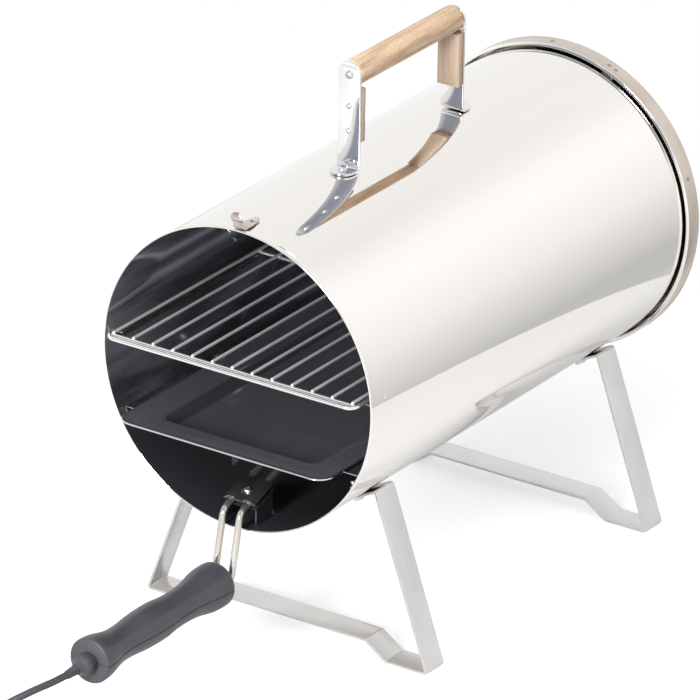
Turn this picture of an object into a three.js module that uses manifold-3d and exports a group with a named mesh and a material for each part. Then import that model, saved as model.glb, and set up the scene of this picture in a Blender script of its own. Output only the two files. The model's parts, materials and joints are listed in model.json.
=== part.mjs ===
// Horizontal barrel smoker with a plug-in electric heater, in millimetres, +Z up.
// The barrel's axis runs along Y and its open mouth faces -Y.
import * as THREE from 'three';
import { mergeVertices } from 'three/addons/utils/BufferGeometryUtils.js';
import Module from 'manifold-3d';

const wasm = await Module();
wasm.setup();

// ---- driving dimensions ----
const GAP = 0.3; // left between pieces that touch or rest on each other
const roundSides = 60; // facets round the barrel, the end plate and the lid

const barrelRadius = 145;
const barrelWall = 1;
const barrelLength = 530;
const barrelClearance = 138; // under the barrel, above the floor
const hemWidth = 6;
const hemRise = 0.7;

const rearPlateInset = 12;
const rearPlateFlange = 9;

const lidClearance = 4.4; // radial room between the barrel and the lid's hoop
const lidOverlap = 11; // how far the hoop covers the barrel
const lidDepth = 19;
const sheet = 1; // lid, rails and end plate
const lidClipWidth = 14;
const knobRadius = 19;
const knobHeight = 30;
const lidDish = 3;

const legStripWidth = 29;
const legStripThickness = 2.5;
const frontLegSetback = 84; // from the mouth to the front leg frame
const rearLegSetback = 48; // from the rear leg frame to the barrel's rear edge
const legBoltAngle = 27; // degrees round the barrel from its lowest line
const legFlangeIn = 17;
const legFlangeOut = 32;
const footSpread = 155; // half the distance over both feet
const footLength = 45;
const crossbarHeight = 18;
const kinkRun = 23;
const legBendRadius = 6;
const legBoltRadius = 3;

const handleLength = 171; // over both uprights
const handleStripWidth = 24;
const handleStripThickness = 2.5;
const handleRise = 92; // from the barrel's top to the grip's centre line
const footScrewSetback = 8; // from the foot's round end's inner edge to the upright's face
const handleGripRadius = 12.3;
const padHeight = 52;
const padThickness = 7;
const screwHeadRadius = 4.2;
const rivetHeadRadius = 2.6;

const latchWidth = 12;
const latchLength = 32;
const latchTongue = 17;
const latchThickness = 1.5;

const grateRods = 13;
const grateRodRadius = 1.5;
const grateWireRadius = 2;
const grateSideGap = 7.5; // to the barrel's wall on each side
const grateRearGap = 44;
const grateOverTray = 72;
const grateDrawnOut = 15;
const grateLipGap = 9; // from the front run to the wire that the rods end on

const traySideGap = 16.9; // to the barrel's wall on each side
const trayRearGap = 116;
const trayOverElement = 45;
const trayDrawnOut = 27;
const trayFlange = 30;
const trayDepth = 18;
const trayWall = 1;
const trayRimRadius = 1.8;
const trayCorner = 16;

const elementRadius = 3.3;
const elementClear = 11.4; // between the two tubes where they run side by side
const elementLoopHalf = 46;
const elementLoopStart = 112;
const elementRearGap = 178;
const elementRise = 39; // above the barrel's bottom
const elementInGrip = 20;
const elementFootHalf = 50;

const clampLength = 30;
const clampSlope = 19; // degrees
const clampLip = 8; // from a tube's centre line to the clamp's edge

const gripDrop = 45; // from the barrel's lowest line to the grip's centre line
const gripInnerEnd = -28;
const gripLength = 195;
const gripWall = 2.6;
const glandReach = 20;

const cordRadius = 3.25;
const coilCentre = [-180, -358.5];
const coilMeanRadius = 38;
const coilSectionHalf = 10;

// ---- derived places ----
const barrelAxisHeight = barrelClearance + barrelRadius;
const barrelTop = barrelAxisHeight + barrelRadius;
const barrelInner = barrelRadius - barrelWall;
const wallHalfWidth = (z) => Math.sqrt(barrelInner ** 2 - (z - barrelAxisHeight) ** 2);
const rearPlateRim = barrelLength - rearPlateInset - rearPlateFlange;
const elementSpacing = elementClear + 2 * elementRadius;
const elementHeight = barrelAxisHeight - barrelInner + elementRise;
const elementLoopEnd = barrelLength - rearPlateInset - elementRearGap;
const trayZ = elementHeight + trayOverElement;
const trayHalfWidth = wallHalfWidth(trayZ) - traySideGap;
const trayLength = rearPlateRim + trayDrawnOut - trayRearGap;
const grateZ = trayZ + grateOverTray;
const grateHalfWidth = wallHalfWidth(grateZ) - grateSideGap;
const grateLength = rearPlateRim + grateDrawnOut - grateRearGap;
const clampHalfWidth = elementSpacing / 2 + clampLip;
const gripAxisHeight = barrelClearance - gripDrop;
const handleFootReach = handleStripWidth / 2 + footScrewSetback;
const lidInner = barrelRadius + lidClearance;
const lidOuter = lidInner + sheet;
const lidFront = barrelLength - lidOverlap;
const lidRear = lidFront + lidDepth;
const lidFace = lidRear - sheet - GAP;
const gripOuterEnd = gripInnerEnd - gripLength;
const frontLegY = frontLegSetback;
const rearLegY = barrelLength - rearLegSetback - legStripWidth;
const handleFront = (barrelLength - 12 - handleLength) / 2;
const handleRear = handleFront + handleLength;
const handleAxisZ = barrelTop + handleRise;
const glandFace = gripOuterEnd - glandReach;
const knobBase = lidFace - lidDish + sheet + GAP;

// ---- finishes ----
const steel = (color, roughness) => new THREE.MeshStandardMaterial({ color, roughness, metalness: 1 });
const dull = (color, roughness) => new THREE.MeshStandardMaterial({ color, roughness, metalness: 0 });
const polishedSteel = () => steel(0xe6e5e3, 0.12);
const brushedSteel = () => steel(0xc9c6c1, 0.35);
const heatedSteel = () => steel(0xa79c8c, 0.3);
const beech = () => dull(0xb98d62, 0.6);
const darkEnamel = () => steel(0x2b2a2e, 0.2);
const blackPlastic = () => dull(0x1b1b1c, 0.45);
const cordRubber = () => dull(0x2c2d2f, 0.6);
const ceramic = () => dull(0xe4dfd3, 0.7);

// ---- small tools ----
const model = new THREE.Group();

function add(name, geometry, material, parent = model) {
  const mesh = new THREE.Mesh(geometry, material);
  mesh.name = name;
  parent.add(mesh);
  return mesh;
}

function toSolid(geometry) {
  const clean = geometry.clone();
  clean.deleteAttribute('normal');
  clean.deleteAttribute('uv');
  const merged = mergeVertices(clean, 1e-4);
  const vertProperties = new Float32Array(merged.attributes.position.array);
  const triVerts = new Uint32Array(merged.index.array);
  return new wasm.Manifold(new wasm.Mesh({ numProp: 3, vertProperties, triVerts }));
}

function toGeometry(solid) {
  const { vertProperties, triVerts } = solid.getMesh();
  const geometry = new THREE.BufferGeometry();
  geometry.setAttribute('position', new THREE.BufferAttribute(new Float32Array(vertProperties), 3));
  geometry.setIndex(new THREE.BufferAttribute(new Uint32Array(triVerts), 1));
  return geometry;
}

const cut = (base, ...tools) => toGeometry(tools.reduce((s, t) => s.subtract(toSolid(t)), toSolid(base)));
const join = (base, ...more) => toGeometry(more.reduce((s, t) => s.add(toSolid(t)), toSolid(base)));

function box(x0, x1, y0, y1, z0, z1) {
  const geometry = new THREE.BoxGeometry(x1 - x0, y1 - y0, z1 - z0);
  return geometry.translate((x0 + x1) / 2, (y0 + y1) / 2, (z0 + z1) / 2);
}

// A cylinder from y0 to y1 about a line along Y.
function rodY(radius, y0, y1, x, z, sides = 12) {
  const geometry = new THREE.CylinderGeometry(radius, radius, y1 - y0, sides);
  return geometry.translate(x, (y0 + y1) / 2, z);
}

// A cylinder from z0 to z1 about a line along Z.
function rodZ(radius, z0, z1, x, y, sides = 12) {
  const geometry = new THREE.CylinderGeometry(radius, radius, z1 - z0, sides);
  return geometry.rotateX(Math.PI / 2).translate(x, y, (z0 + z1) / 2);
}

// A turned shape about the barrel's axis line or another line along Y: profile points are [radius, y].
function turnedY(profile, sides, x = 0, z = barrelAxisHeight) {
  const points = profile.map(([r, y]) => new THREE.Vector2(r, y));
  return new THREE.LatheGeometry(points, sides).translate(x, 0, z);
}

// The bent centre line of a strip: straight runs joined by round bends.
function bentLine(corners, radius) {
  const path = new THREE.CurvePath();
  const points = corners.map((c) => new THREE.Vector3(c[0], c[1], c[2] ?? 0));
  let from = points[0];
  for (let i = 1; i < points.length - 1; i += 1) {
    const back = points[i - 1].clone().sub(points[i]).normalize();
    const on = points[i + 1].clone().sub(points[i]).normalize();
    const reach = radius / Math.tan(back.angleTo(on) / 2);
    const start = points[i].clone().addScaledVector(back, reach);
    const end = points[i].clone().addScaledVector(on, reach);
    path.add(new THREE.LineCurve3(from, start));
    path.add(new THREE.QuadraticBezierCurve3(start, points[i], end));
    from = end;
  }
  path.add(new THREE.LineCurve3(from, points[points.length - 1]));
  return path;
}

function linePoints(path, bendSteps) {
  const points = [path.curves[0].getPoint(0)];
  for (const curve of path.curves) {
    const steps = curve instanceof THREE.LineCurve3 ? 1 : bendSteps;
    for (let i = 1; i <= steps; i += 1) points.push(curve.getPoint(i / steps));
  }
  return points;
}

// A bent strip's side outline, given its centre line in the outline's own plane.
function stripShape(corners, thickness, radius, bendSteps = 4) {
  const points = linePoints(bentLine(corners, radius), bendSteps);
  const side = (sign) => points.map((p, i) => {
    const before = points[Math.max(i - 1, 0)];
    const after = points[Math.min(i + 1, points.length - 1)];
    const into = i === 0 ? after.clone().sub(p) : p.clone().sub(before);
    const out = i === points.length - 1 ? into : after.clone().sub(p);
    const a = into.normalize();
    const b = out.clone().normalize();
    const half = Math.acos(THREE.MathUtils.clamp(a.dot(b), -1, 1)) / 2;
    const along = a.clone().add(b).normalize();
    const reach = (sign * thickness) / 2 / Math.cos(half);
    return new THREE.Vector2(p.x - along.y * reach, p.y + along.x * reach);
  });
  return new THREE.Shape([...side(-1), ...side(1).reverse()]);
}

// An outline in X-Z, extruded from y0 to y1.
function extrudeXZ(shape, y0, y1) {
  const geometry = new THREE.ExtrudeGeometry(shape, { depth: y1 - y0, bevelEnabled: false });
  return geometry.rotateX(Math.PI / 2).translate(0, y1, 0);
}

// An outline in Y-Z, extruded over a width centred on x.
function extrudeYZ(shape, width, x = 0) {
  const geometry = new THREE.ExtrudeGeometry(shape, { depth: width, bevelEnabled: false });
  const turn = new THREE.Matrix4().set(0, 0, 1, 0, 1, 0, 0, 0, 0, 1, 0, 0, 0, 0, 0, 1);
  return geometry.applyMatrix4(turn).translate(x - width / 2, 0, 0);
}

function tubeAlong(path, radius, sides, steps) {
  const circle = new THREE.Shape();
  circle.absarc(0, 0, radius, 0, Math.PI * 2);
  const options = { steps, extrudePath: path, bevelEnabled: false, curveSegments: sides / 2 };
  return new THREE.ExtrudeGeometry(circle, options);
}

// A strip's plan with one round end about `centre`; the rest runs straight on to `to`.
function tongue(halfWidth, centre, to) {
  const way = Math.sign(centre - to);
  const shape = new THREE.Shape();
  shape.absarc(0, centre, halfWidth, 0, Math.PI * way, way < 0);
  shape.lineTo(-halfWidth, to);
  shape.lineTo(halfWidth, to);
  return shape;
}

// A rectangle with round corners, from -w to w and from y0 to y1.
function roundedRect(w, y0, y1, r) {
  const shape = new THREE.Shape();
  shape.moveTo(-w + r, y0);
  shape.lineTo(w - r, y0);
  shape.absarc(w - r, y0 + r, r, -Math.PI / 2, 0);
  shape.lineTo(w, y1 - r);
  shape.absarc(w - r, y1 - r, r, 0, Math.PI / 2);
  shape.lineTo(-w + r, y1);
  shape.absarc(-w + r, y1 - r, r, Math.PI / 2, Math.PI);
  shape.lineTo(-w, y0 + r);
  shape.absarc(-w + r, y0 + r, r, Math.PI, Math.PI * 1.5);
  return shape;
}

const mirrored = (x) => [[x, 'right'], [-x, 'left']];
const radians = THREE.MathUtils.degToRad;

// ---- barrel, end plate and rails ----
function barrelShell() {
  const r = barrelRadius;
  return turnedY([
    [barrelInner, 0], [r, 0], [r + hemRise, hemRise], [r + hemRise, hemWidth],
    [r, hemWidth + hemRise], [r, barrelLength], [barrelInner, barrelLength], [barrelInner, 0],
  ], roundSides);
}

function rearPlate() {
  const outer = barrelInner - GAP;
  const face = barrelLength - rearPlateInset;
  return turnedY([
    [0, face - sheet], [outer - 2.6, face - sheet], [outer - sheet, face - 2.4],
    [outer - sheet, face - rearPlateFlange], [outer, face - rearPlateFlange], [outer, face - 2],
    [outer - 2, face], [0, face],
  ], roundSides);
}

// A shelf that stands off the wall on a flange which follows the wall's slope.
function rail(side, shelfTop, shelfHalf, flange, y0, y1) {
  const z = shelfTop - sheet / 2;
  const wall = wallHalfWidth(z) - GAP - sheet / 2 - 0.6;
  const slope = Math.asin((barrelAxisHeight - z) / barrelInner);
  const down = [wall - flange * Math.sin(slope + 0.05), z - flange * Math.cos(slope + 0.05)];
  const corners = [[shelfHalf, z], [wall, z], down].map(([x, h]) => [side * x, h]);
  const shape = stripShape(side > 0 ? corners : corners.reverse(), sheet, 1.2, 3);
  return extrudeXZ(shape, y0, y1);
}

add('rear_end_plate', rearPlate(), polishedSteel());

const grateRailTop = grateZ - grateWireRadius - GAP;
const trayRailTop = trayZ - trayRimRadius - GAP;
for (const [side, label] of mirrored(1)) {
  const railEnd = rearPlateRim - 3;
  add(`grate_rail_${label}`, rail(side, grateRailTop, grateHalfWidth - 6, 11, 8, railEnd), brushedSteel());
  add(`tray_rail_${label}`, rail(side, trayRailTop, trayHalfWidth - 9, 11, 8, railEnd), brushedSteel());
}

// ---- lid, standing on the barrel's rear end ----
function lidDisc() {
  const edge = lidInner - GAP;
  const y = lidFace;
  return turnedY([
    [0, y - lidDish], [96, y - lidDish], [100, y], [edge, y], [edge, y + sheet],
    [99.4, y + sheet], [95.4, y - lidDish + sheet], [0, y - lidDish + sheet],
  ], roundSides);
}

function lidHoop() {
  return turnedY([
    [lidInner, lidFront], [lidOuter, lidFront], [lidOuter, lidRear], [lidInner, lidRear],
    [lidInner, lidFront],
  ], roundSides);
}

// A bowed spring strip between the hoop and the barrel.
function lidClip(angle) {
  const outer = lidInner - GAP - 0.3;
  const inner = barrelRadius + GAP + 0.6;
  const y0 = lidFront + 1.5;
  const rear = lidFace - GAP - 1;
  const middle = (y0 + rear) / 2;
  const line = [[y0, outer - 0.6], [middle - 3, inner], [middle + 1, inner], [rear, outer - 0.6]];
  const strip = extrudeYZ(stripShape(line, 0.6, 2, 3), lidClipWidth);
  return strip.rotateY(radians(angle)).translate(0, 0, barrelAxisHeight);
}

function lidKnob() {
  const base = knobBase;
  const top = base + knobHeight;
  return turnedY([
    [0, base], [9, base], [8.4, base + 6], [9.5, base + 12], [knobRadius - 1, base + 18],
    [knobRadius, base + 22], [knobRadius - 2, top - 3], [knobRadius - 8, top], [0, top],
  ], 24);
}

function lidKnobScrew() {
  const face = lidFace - lidDish - GAP;
  return turnedY([[0, face - 3], [2.5, face - 3], [5, face - 1], [5, face], [0, face]], 12);
}

add('lid_disc', lidDisc(), brushedSteel());
add('lid_hoop', lidHoop(), brushedSteel());
for (const [index, angle] of [22, 142, 262].entries()) {
  add(`lid_clip_${index + 1}`, lidClip(angle), brushedSteel());
}
add('lid_knob', lidKnob(), beech());
add('lid_knob_screw', lidKnobScrew(), brushedSteel());

// ---- leg frames ----
const boltTurn = radians(legBoltAngle);
const boltTangent = [Math.cos(boltTurn), Math.sin(boltTurn)];
const boltNormal = [Math.sin(boltTurn), -Math.cos(boltTurn)];

// A point beside the bolt: out from the barrel's axis, then along its flange, in X-Z.
function flangePoint(out, along) {
  const x = out * boltNormal[0] + along * boltTangent[0];
  return [x, barrelAxisHeight + out * boltNormal[1] + along * boltTangent[1]];
}

// Sets a piece made about the barrel's lowest line at its place beside the right or the left leg.
const atLegBolt = (piece, side, y) => (
  piece.rotateY(-side * boltTurn).translate(0, y + legStripWidth / 2, barrelAxisHeight));

function legBoltHole(side, y) {
  const hole = rodZ(legBoltRadius + GAP, -barrelRadius - 12, -barrelRadius + 12, 0, 0);
  return atLegBolt(hole, side, y);
}

function legFrame(y) {
  const half = legStripThickness / 2;
  const out = barrelRadius + GAP + half;
  const foot = footSpread - half;
  const right = [
    flangePoint(out, -legFlangeIn), flangePoint(out, legFlangeOut), [foot, half],
    [footSpread - footLength, half], [footSpread - footLength - kinkRun, crossbarHeight - half],
  ];
  const left = right.map(([x, z]) => [-x, z]).reverse();
  const shape = stripShape([...right, ...left], legStripThickness, legBendRadius, 4);
  const holes = mirrored(1).map(([side]) => legBoltHole(side, y));
  return cut(extrudeXZ(shape, y, y + legStripWidth), ...holes);
}

// A hexagon-head bolt: its head is under the flange and its end stands inside the barrel.
function legBolt(side, y) {
  const under = -(barrelRadius + 2 * GAP + legStripThickness);
  const head = rodZ(5.5, under - 4, under, 0, 0, 6);
  const shank = rodZ(legBoltRadius, under - 1, -barrelInner + 13, 0, 0);
  return atLegBolt(join(head, shank), side, y);
}

function legNut(side, y) {
  const seat = -barrelInner + 1.1;
  const nut = cut(rodZ(5.5, seat, seat + 5, 0, 0, 6), rodZ(legBoltRadius + GAP, seat - 1, seat + 6, 0, 0));
  return atLegBolt(nut, side, y);
}

const wallHoles = []; // through the barrel's sheet
for (const [place, y] of [['front', frontLegY], ['rear', rearLegY]]) {
  add(`leg_frame_${place}`, legFrame(y), brushedSteel());
  for (const [side, label] of mirrored(1)) {
    add(`leg_bolt_${place}_${label}`, legBolt(side, y), brushedSteel());
    add(`leg_nut_${place}_${label}`, legNut(side, y), brushedSteel());
    wallHoles.push(legBoltHole(side, y));
  }
}

// ---- carrying handle ----
const handleFootZ = barrelTop + GAP;
const footScrewOffset = footScrewSetback;

// One upright: a rounded strip whose foot turns away from the grip. outward is -1 at the front.
function handleUpright(face, outward) {
  const half = handleStripThickness / 2;
  const y = face - outward * half;
  const toe = face + outward * handleFootReach;
  const top = handleAxisZ + handleStripWidth / 2;
  const corners = [[toe, handleFootZ + half], [y, handleFootZ + half], [y, top]];
  const line = outward < 0 ? corners : corners.reverse();
  const strip = extrudeYZ(stripShape(line, handleStripThickness, 3.5, 4), handleStripWidth);
  const low = handleFootZ - 1;
  const w = handleStripWidth / 2;
  const plan = tongue(w, toe - outward * w, face - outward * handleFootReach);
  const footEnd = new THREE.ExtrudeGeometry(plan, { depth: 2 * handleRise, bevelEnabled: false });
  footEnd.translate(0, 0, low);
  const reach = handleFootReach + w;
  const upEnd = extrudeXZ(tongue(w, handleAxisZ, low), face - reach, face + reach);
  const rounded = toSolid(strip).intersect(toSolid(footEnd)).intersect(toSolid(upEnd));
  const gripHole = rodY(2.8, face - 10, face + 10, 0, handleAxisZ);
  const footHole = rodZ(2.8, low - 5, low + 10, 0, face + outward * footScrewOffset);
  const holes = padRivetHeights.map((z) => rodY(1.8, face - 10, face + 10, 0, z, 8));
  return cut(toGeometry(rounded), gripHole, footHole, ...holes);
}

const padTop = handleAxisZ - handleGripRadius - GAP;
const padRivetHeights = [padTop - 18, padTop - padHeight + 10];
const gripStart = handleFront + handleStripThickness + GAP;
const gripEnd = handleRear - handleStripThickness - GAP;

function handleGrip() {
  const r = handleGripRadius;
  const bevel = 1;
  const bar = turnedY([
    [0, gripStart], [r - bevel, gripStart], [r, gripStart + bevel],
    [r, gripEnd - bevel], [r - bevel, gripEnd], [0, gripEnd],
  ], 24, 0, handleAxisZ);
  const frontHole = rodY(2.2, gripStart - 1, gripStart + 20, 0, handleAxisZ, 10);
  const rearHole = rodY(2.2, gripEnd - 20, gripEnd + 1, 0, handleAxisZ, 10);
  return cut(bar, frontHole, rearHole);
}

// A pan-head screw along Y: its head is outside the upright.
function gripScrew(face, outward) {
  const seat = face + outward * GAP;
  const r = screwHeadRadius;
  const profile = [[0, 3], [2.6, 2.6], [r, 1], [r, 0], [1.9, 0], [1.9, -18], [0, -18]];
  const points = profile.map(([r, d]) => [r, seat + outward * d]);
  return turnedY(outward > 0 ? points.reverse() : points, 14, 0, handleAxisZ);
}

function turnedUp(profile, sides, x, y, z) {
  const points = profile.map(([r, d]) => new THREE.Vector2(r, d));
  return new THREE.LatheGeometry(points, sides).rotateX(Math.PI / 2).translate(x, y, z);
}

const headUp = (shankEnd) => [
  [0, shankEnd], [1.9, shankEnd], [1.9, 0], [screwHeadRadius + 0.6, 0], [screwHeadRadius + 0.6, 1],
  [3, 2.8], [0, 3.1],
];

function padRivet(face, outward, z) {
  const seat = face + outward * GAP;
  const inside = -(handleStripThickness + padThickness - 1);
  const r = rivetHeadRadius;
  const profile = [[0, 1.6], [1.6, 1.3], [r, 0.4], [r, 0], [1.4, 0], [1.4, inside], [0, inside]];
  const points = profile.map(([r, d]) => [r, seat + outward * d]);
  return turnedY(outward > 0 ? points.reverse() : points, 12, 0, z);
}

const handleEnds = [['front', handleFront, -1], ['rear', handleRear, 1]];
for (const [place, face, outward] of handleEnds) {
  add(`handle_upright_${place}`, handleUpright(face, outward), polishedSteel());
  add(`handle_grip_screw_${place}`, gripScrew(face, outward), polishedSteel());
  const screwZ = handleFootZ + handleStripThickness + GAP;
  const screwY = face + outward * footScrewOffset;
  const shankEnd = -(handleStripThickness + barrelWall + 5);
  add(`handle_foot_screw_${place}`, turnedUp(headUp(shankEnd), 14, 0, screwY, screwZ), polishedSteel());
  wallHoles.push(rodZ(2.3, barrelTop - 10, barrelTop + 10, 0, screwY));
  const padFace = face - outward * (handleStripThickness + GAP);
  const padBack = padFace - outward * padThickness;
  const w = handleStripWidth / 2;
  const [y0, y1] = [padFace, padBack].sort((a, b) => a - b);
  const block = box(-w, w, y0, y1, padTop - padHeight, padTop);
  const holes = padRivetHeights.map((z) => rodY(1.8, y0 - 1, y1 + 1, 0, z, 8));
  add(`handle_pad_${place}`, cut(block, ...holes), beech());
  for (const [index, z] of padRivetHeights.entries()) {
    add(`handle_pad_rivet_${place}_${index + 1}`, padRivet(face, outward, z), polishedSteel());
  }
}
add('handle_grip', handleGrip(), beech());

// ---- latch hook over the mouth ----
const latchRivetY = 24;

function latchHook() {
  const z = barrelTop + hemRise + GAP + latchThickness / 2;
  const line = [
    [latchLength, z], [2, z], [0.5, z + latchTongue * 0.45], [-2.5, z + latchTongue * 0.6],
    [-1, z + latchTongue],
  ];
  const strip = extrudeYZ(stripShape(line.reverse(), latchThickness, 1, 3), latchWidth);
  const rear = new THREE.Shape();
  const w = latchWidth / 2;
  rear.moveTo(-w - 1, -20);
  rear.lineTo(w + 1, -20);
  rear.lineTo(w + 1, latchRivetY - 8);
  rear.lineTo(2.5, latchLength);
  rear.lineTo(-2.5, latchLength);
  rear.lineTo(-w - 1, latchRivetY - 8);
  const taper = new THREE.ExtrudeGeometry(rear, { depth: 60, bevelEnabled: false });
  taper.translate(0, 0, barrelTop - 10);
  const front = new THREE.Shape();
  const top = z + latchTongue;
  front.absarc(0, top - w + 0.4, w, 0, Math.PI);
  front.lineTo(-w, barrelTop - 10);
  front.lineTo(w, barrelTop - 10);
  const roundTop = extrudeXZ(front, -20, latchLength + 10);
  const shaped = toSolid(strip).intersect(toSolid(taper)).intersect(toSolid(roundTop));
  return cut(toGeometry(shaped), rodZ(1.9, barrelTop - 5, barrelTop + 8, 0, latchRivetY, 10));
}

function latchRivet() {
  const seat = barrelTop + hemRise + 2 * GAP + latchThickness;
  const profile = [[0, -6], [1.5, -6], [1.5, 0], [3, 0], [3, 0.5], [1.8, 1.5], [0, 1.8]];
  return turnedUp(profile, 12, 0, latchRivetY, seat);
}

add('latch_hook', latchHook(), polishedSteel());
add('latch_rivet', latchRivet(), polishedSteel());
wallHoles.push(rodZ(1.9, barrelTop - 5, barrelTop + 5, 0, latchRivetY));

add('barrel_shell', cut(barrelShell(), ...wallHoles), polishedSteel());

// ---- grate ----
function grillGrate() {
  const front = -grateDrawnOut;
  const rear = front + grateLength;
  const half = grateHalfWidth - grateWireRadius;
  const z = grateZ;
  const r = grateWireRadius;
  const corner = 12;
  const frame = roundedRect(half + r, front, rear, corner);
  frame.holes.push(roundedRect(half - r, front + 2 * r, rear - 2 * r, corner - 2 * r));
  const ring = new THREE.ExtrudeGeometry(frame, { depth: 2 * r, bevelEnabled: false, curveSegments: 4 });
  ring.translate(0, 0, z - r);
  const crossY = [front + grateLipGap + r, front + grateLength / 2, rear - grateLipGap - r];
  const wires = crossY.map((y) => {
    const wire = new THREE.CylinderGeometry(r * 0.96, r * 0.96, 2 * half, 8);
    return wire.rotateZ(Math.PI / 2).translate(0, y, z);
  });
  const rodZ0 = z + r + grateRodRadius * 0.5;
  const reach = half - r - 2.5;
  const rods = [];
  for (let i = 0; i < grateRods; i += 1) {
    const x = -reach + (2 * reach * i) / (grateRods - 1);
    rods.push(rodY(grateRodRadius, crossY[0] - 1.5, crossY[2] + 1.5, x, rodZ0, 6));
  }
  return join(ring, ...wires, ...rods);
}

add('grill_grate', grillGrate(), polishedSteel());

// ---- drip tray ----
function slab(inset, z0, z1, corner) {
  const front = -trayDrawnOut + inset;
  const rear = -trayDrawnOut + trayLength - inset;
  const shape = roundedRect(trayHalfWidth - inset, front, rear, corner);
  const settings = { depth: z1 - z0, bevelEnabled: false, curveSegments: 5 };
  return new THREE.ExtrudeGeometry(shape, settings).translate(0, 0, z0);
}

function dripTray() {
  const rimWidth = 2 * trayRimRadius;
  const rim = slab(0, trayZ - trayRimRadius, trayZ + trayRimRadius, trayCorner);
  const rimInside = slab(rimWidth, trayZ, trayZ + trayRimRadius + 1, trayCorner - rimWidth);
  const rimUnder = slab(rimWidth, trayZ - trayRimRadius - 1, trayZ - trayWall, trayCorner - rimWidth);
  const pan = slab(trayFlange, trayZ - trayDepth, trayZ - trayWall / 2, 12);
  const panInside = slab(trayFlange + trayWall, trayZ - trayDepth + trayWall, trayZ + 3, 11);
  return toGeometry(toSolid(rim).subtract(toSolid(rimInside)).subtract(toSolid(rimUnder))
    .add(toSolid(pan)).subtract(toSolid(panInside)));
}

add('drip_tray', dripTray(), darkEnamel());

// ---- heater: element, clamp and foot ----
const mouthSlope = Math.tan(radians(clampSlope));
const slopeTop = 60; // where the sloping stretch ends, behind the mouth
const elementRimZ = elementHeight - slopeTop * mouthSlope;

function elementPath() {
  const s = elementSpacing / 2;
  const side = (sign) => [
    [sign * s, gripInnerEnd - elementInGrip, gripAxisHeight], [sign * s, gripInnerEnd + 10, gripAxisHeight],
    [sign * s, -4, elementRimZ - 4 * mouthSlope], [sign * s, slopeTop, elementHeight],
    [sign * elementLoopHalf, elementLoopStart, elementHeight],
    [sign * elementLoopHalf, elementLoopEnd, elementHeight],
  ];
  return bentLine([...side(-1), ...side(1).reverse()], 12);
}

add('heating_element', tubeAlong(elementPath(), elementRadius, 8, 84), heatedSteel());

// Everything in this group lies on the sloping stretch of the element behind the mouth.
const slopeGroup = new THREE.Group();
slopeGroup.position.set(0, 0, elementRimZ);
slopeGroup.rotation.x = radians(clampSlope);
model.add(slopeGroup);

const clampStart = 8;
const clampSheet = 1.2;
const clampScrewRadius = 2;
const clampHoleRadius = 2.6;
const screwMid = clampStart + clampLength / 2;

function clampPlate() {
  const s = elementSpacing / 2;
  const crown = elementRadius + GAP + clampSheet / 2;
  const low = clampSheet / 2 + GAP + 0.4;
  const bump = s - 0.2;
  const half = [
    [0, low], [s - crown - 0.6, low],
    [bump - elementRadius + 0.9, crown], [bump + elementRadius - 0.5, crown],
    [s + crown + 0.9, low], [clampHalfWidth, low],
  ];
  const left = half.slice(1).map(([x, z]) => [-x, z]).reverse();
  const shape = stripShape([...left, ...half], clampSheet, 1, 3);
  const plate = extrudeXZ(shape, clampStart, clampStart + clampLength);
  return cut(plate, rodZ(clampHoleRadius, -5, 8, 0, screwMid, 10));
}

// The seat under the tubes: a plate on the slope with two cheeks that stand on the barrel's bottom.
function clampSeat() {
  const top = -elementRadius - GAP;
  const end = clampStart + clampLength;
  const plate = box(-clampHalfWidth, clampHalfWidth, clampStart, end, top - clampSheet, top);
  const hole = rodZ(clampHoleRadius, top - 5, top + 2, 0, screwMid, 10);
  const sloped = cut(plate, hole).rotateX(radians(clampSlope)).translate(0, 0, elementRimZ);
  const floorZ = barrelAxisHeight - Math.sqrt(barrelInner ** 2 - clampHalfWidth ** 2) + GAP;
  const plateZ = (y) => elementRimZ + y * mouthSlope + (top - clampSheet / 2) / Math.cos(radians(clampSlope));
  const cheek = new THREE.Shape();
  cheek.moveTo(clampStart + 2, floorZ);
  cheek.lineTo(end - 3, floorZ);
  cheek.lineTo(end - 3, plateZ(end - 3));
  cheek.lineTo(clampStart + 2, plateZ(clampStart + 2));
  const middle = clampHalfWidth - clampSheet / 2;
  return join(sloped, extrudeYZ(cheek, clampSheet, middle), extrudeYZ(cheek, clampSheet, -middle));
}

const clampHeadZ = clampSheet + 2 * GAP + 0.4;
const clampProfile = [
  [0, -14], [clampScrewRadius, -14], [clampScrewRadius, 0], [4, 0], [4, 1.2], [2.8, 2.8], [0, 3.2],
];
const clampNutTop = -elementRadius - 2 * GAP - clampSheet;
add('heater_clamp_plate', clampPlate(), heatedSteel(), slopeGroup);
add('heater_clamp_seat', clampSeat(), heatedSteel());
add('heater_clamp_screw', turnedUp(clampProfile, 14, 0, screwMid, clampHeadZ), polishedSteel(), slopeGroup);
const nutHex = rodZ(4.2, clampNutTop - 4, clampNutTop, 0, screwMid, 6);
const nutBore = rodZ(clampScrewRadius + GAP, clampNutTop - 5, clampNutTop + 1, 0, screwMid, 10);
add('heater_clamp_nut', cut(nutHex, nutBore), polishedSteel(), slopeGroup);

// A bent strip that stands on the barrel's bottom and carries the element.
function elementFoot(y, half, carried, run) {
  const wallZ = (x) => barrelAxisHeight - Math.sqrt(barrelInner ** 2 - x ** 2) + GAP + clampSheet / 2 + 0.2;
  const top = carried - clampSheet / 2;
  const right = [[half - 9, wallZ(half - 9)], [half, wallZ(half)], [half, top]];
  const left = right.map(([x, z]) => [-x, z]).reverse();
  return extrudeXZ(stripShape([...right, ...left], clampSheet, 1, 3), y, y + run);
}

const restTop = elementHeight - elementRadius - GAP;
add('element_foot_rear', elementFoot(elementLoopEnd - 60, elementFootHalf, restTop, 14), heatedSteel());

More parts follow.
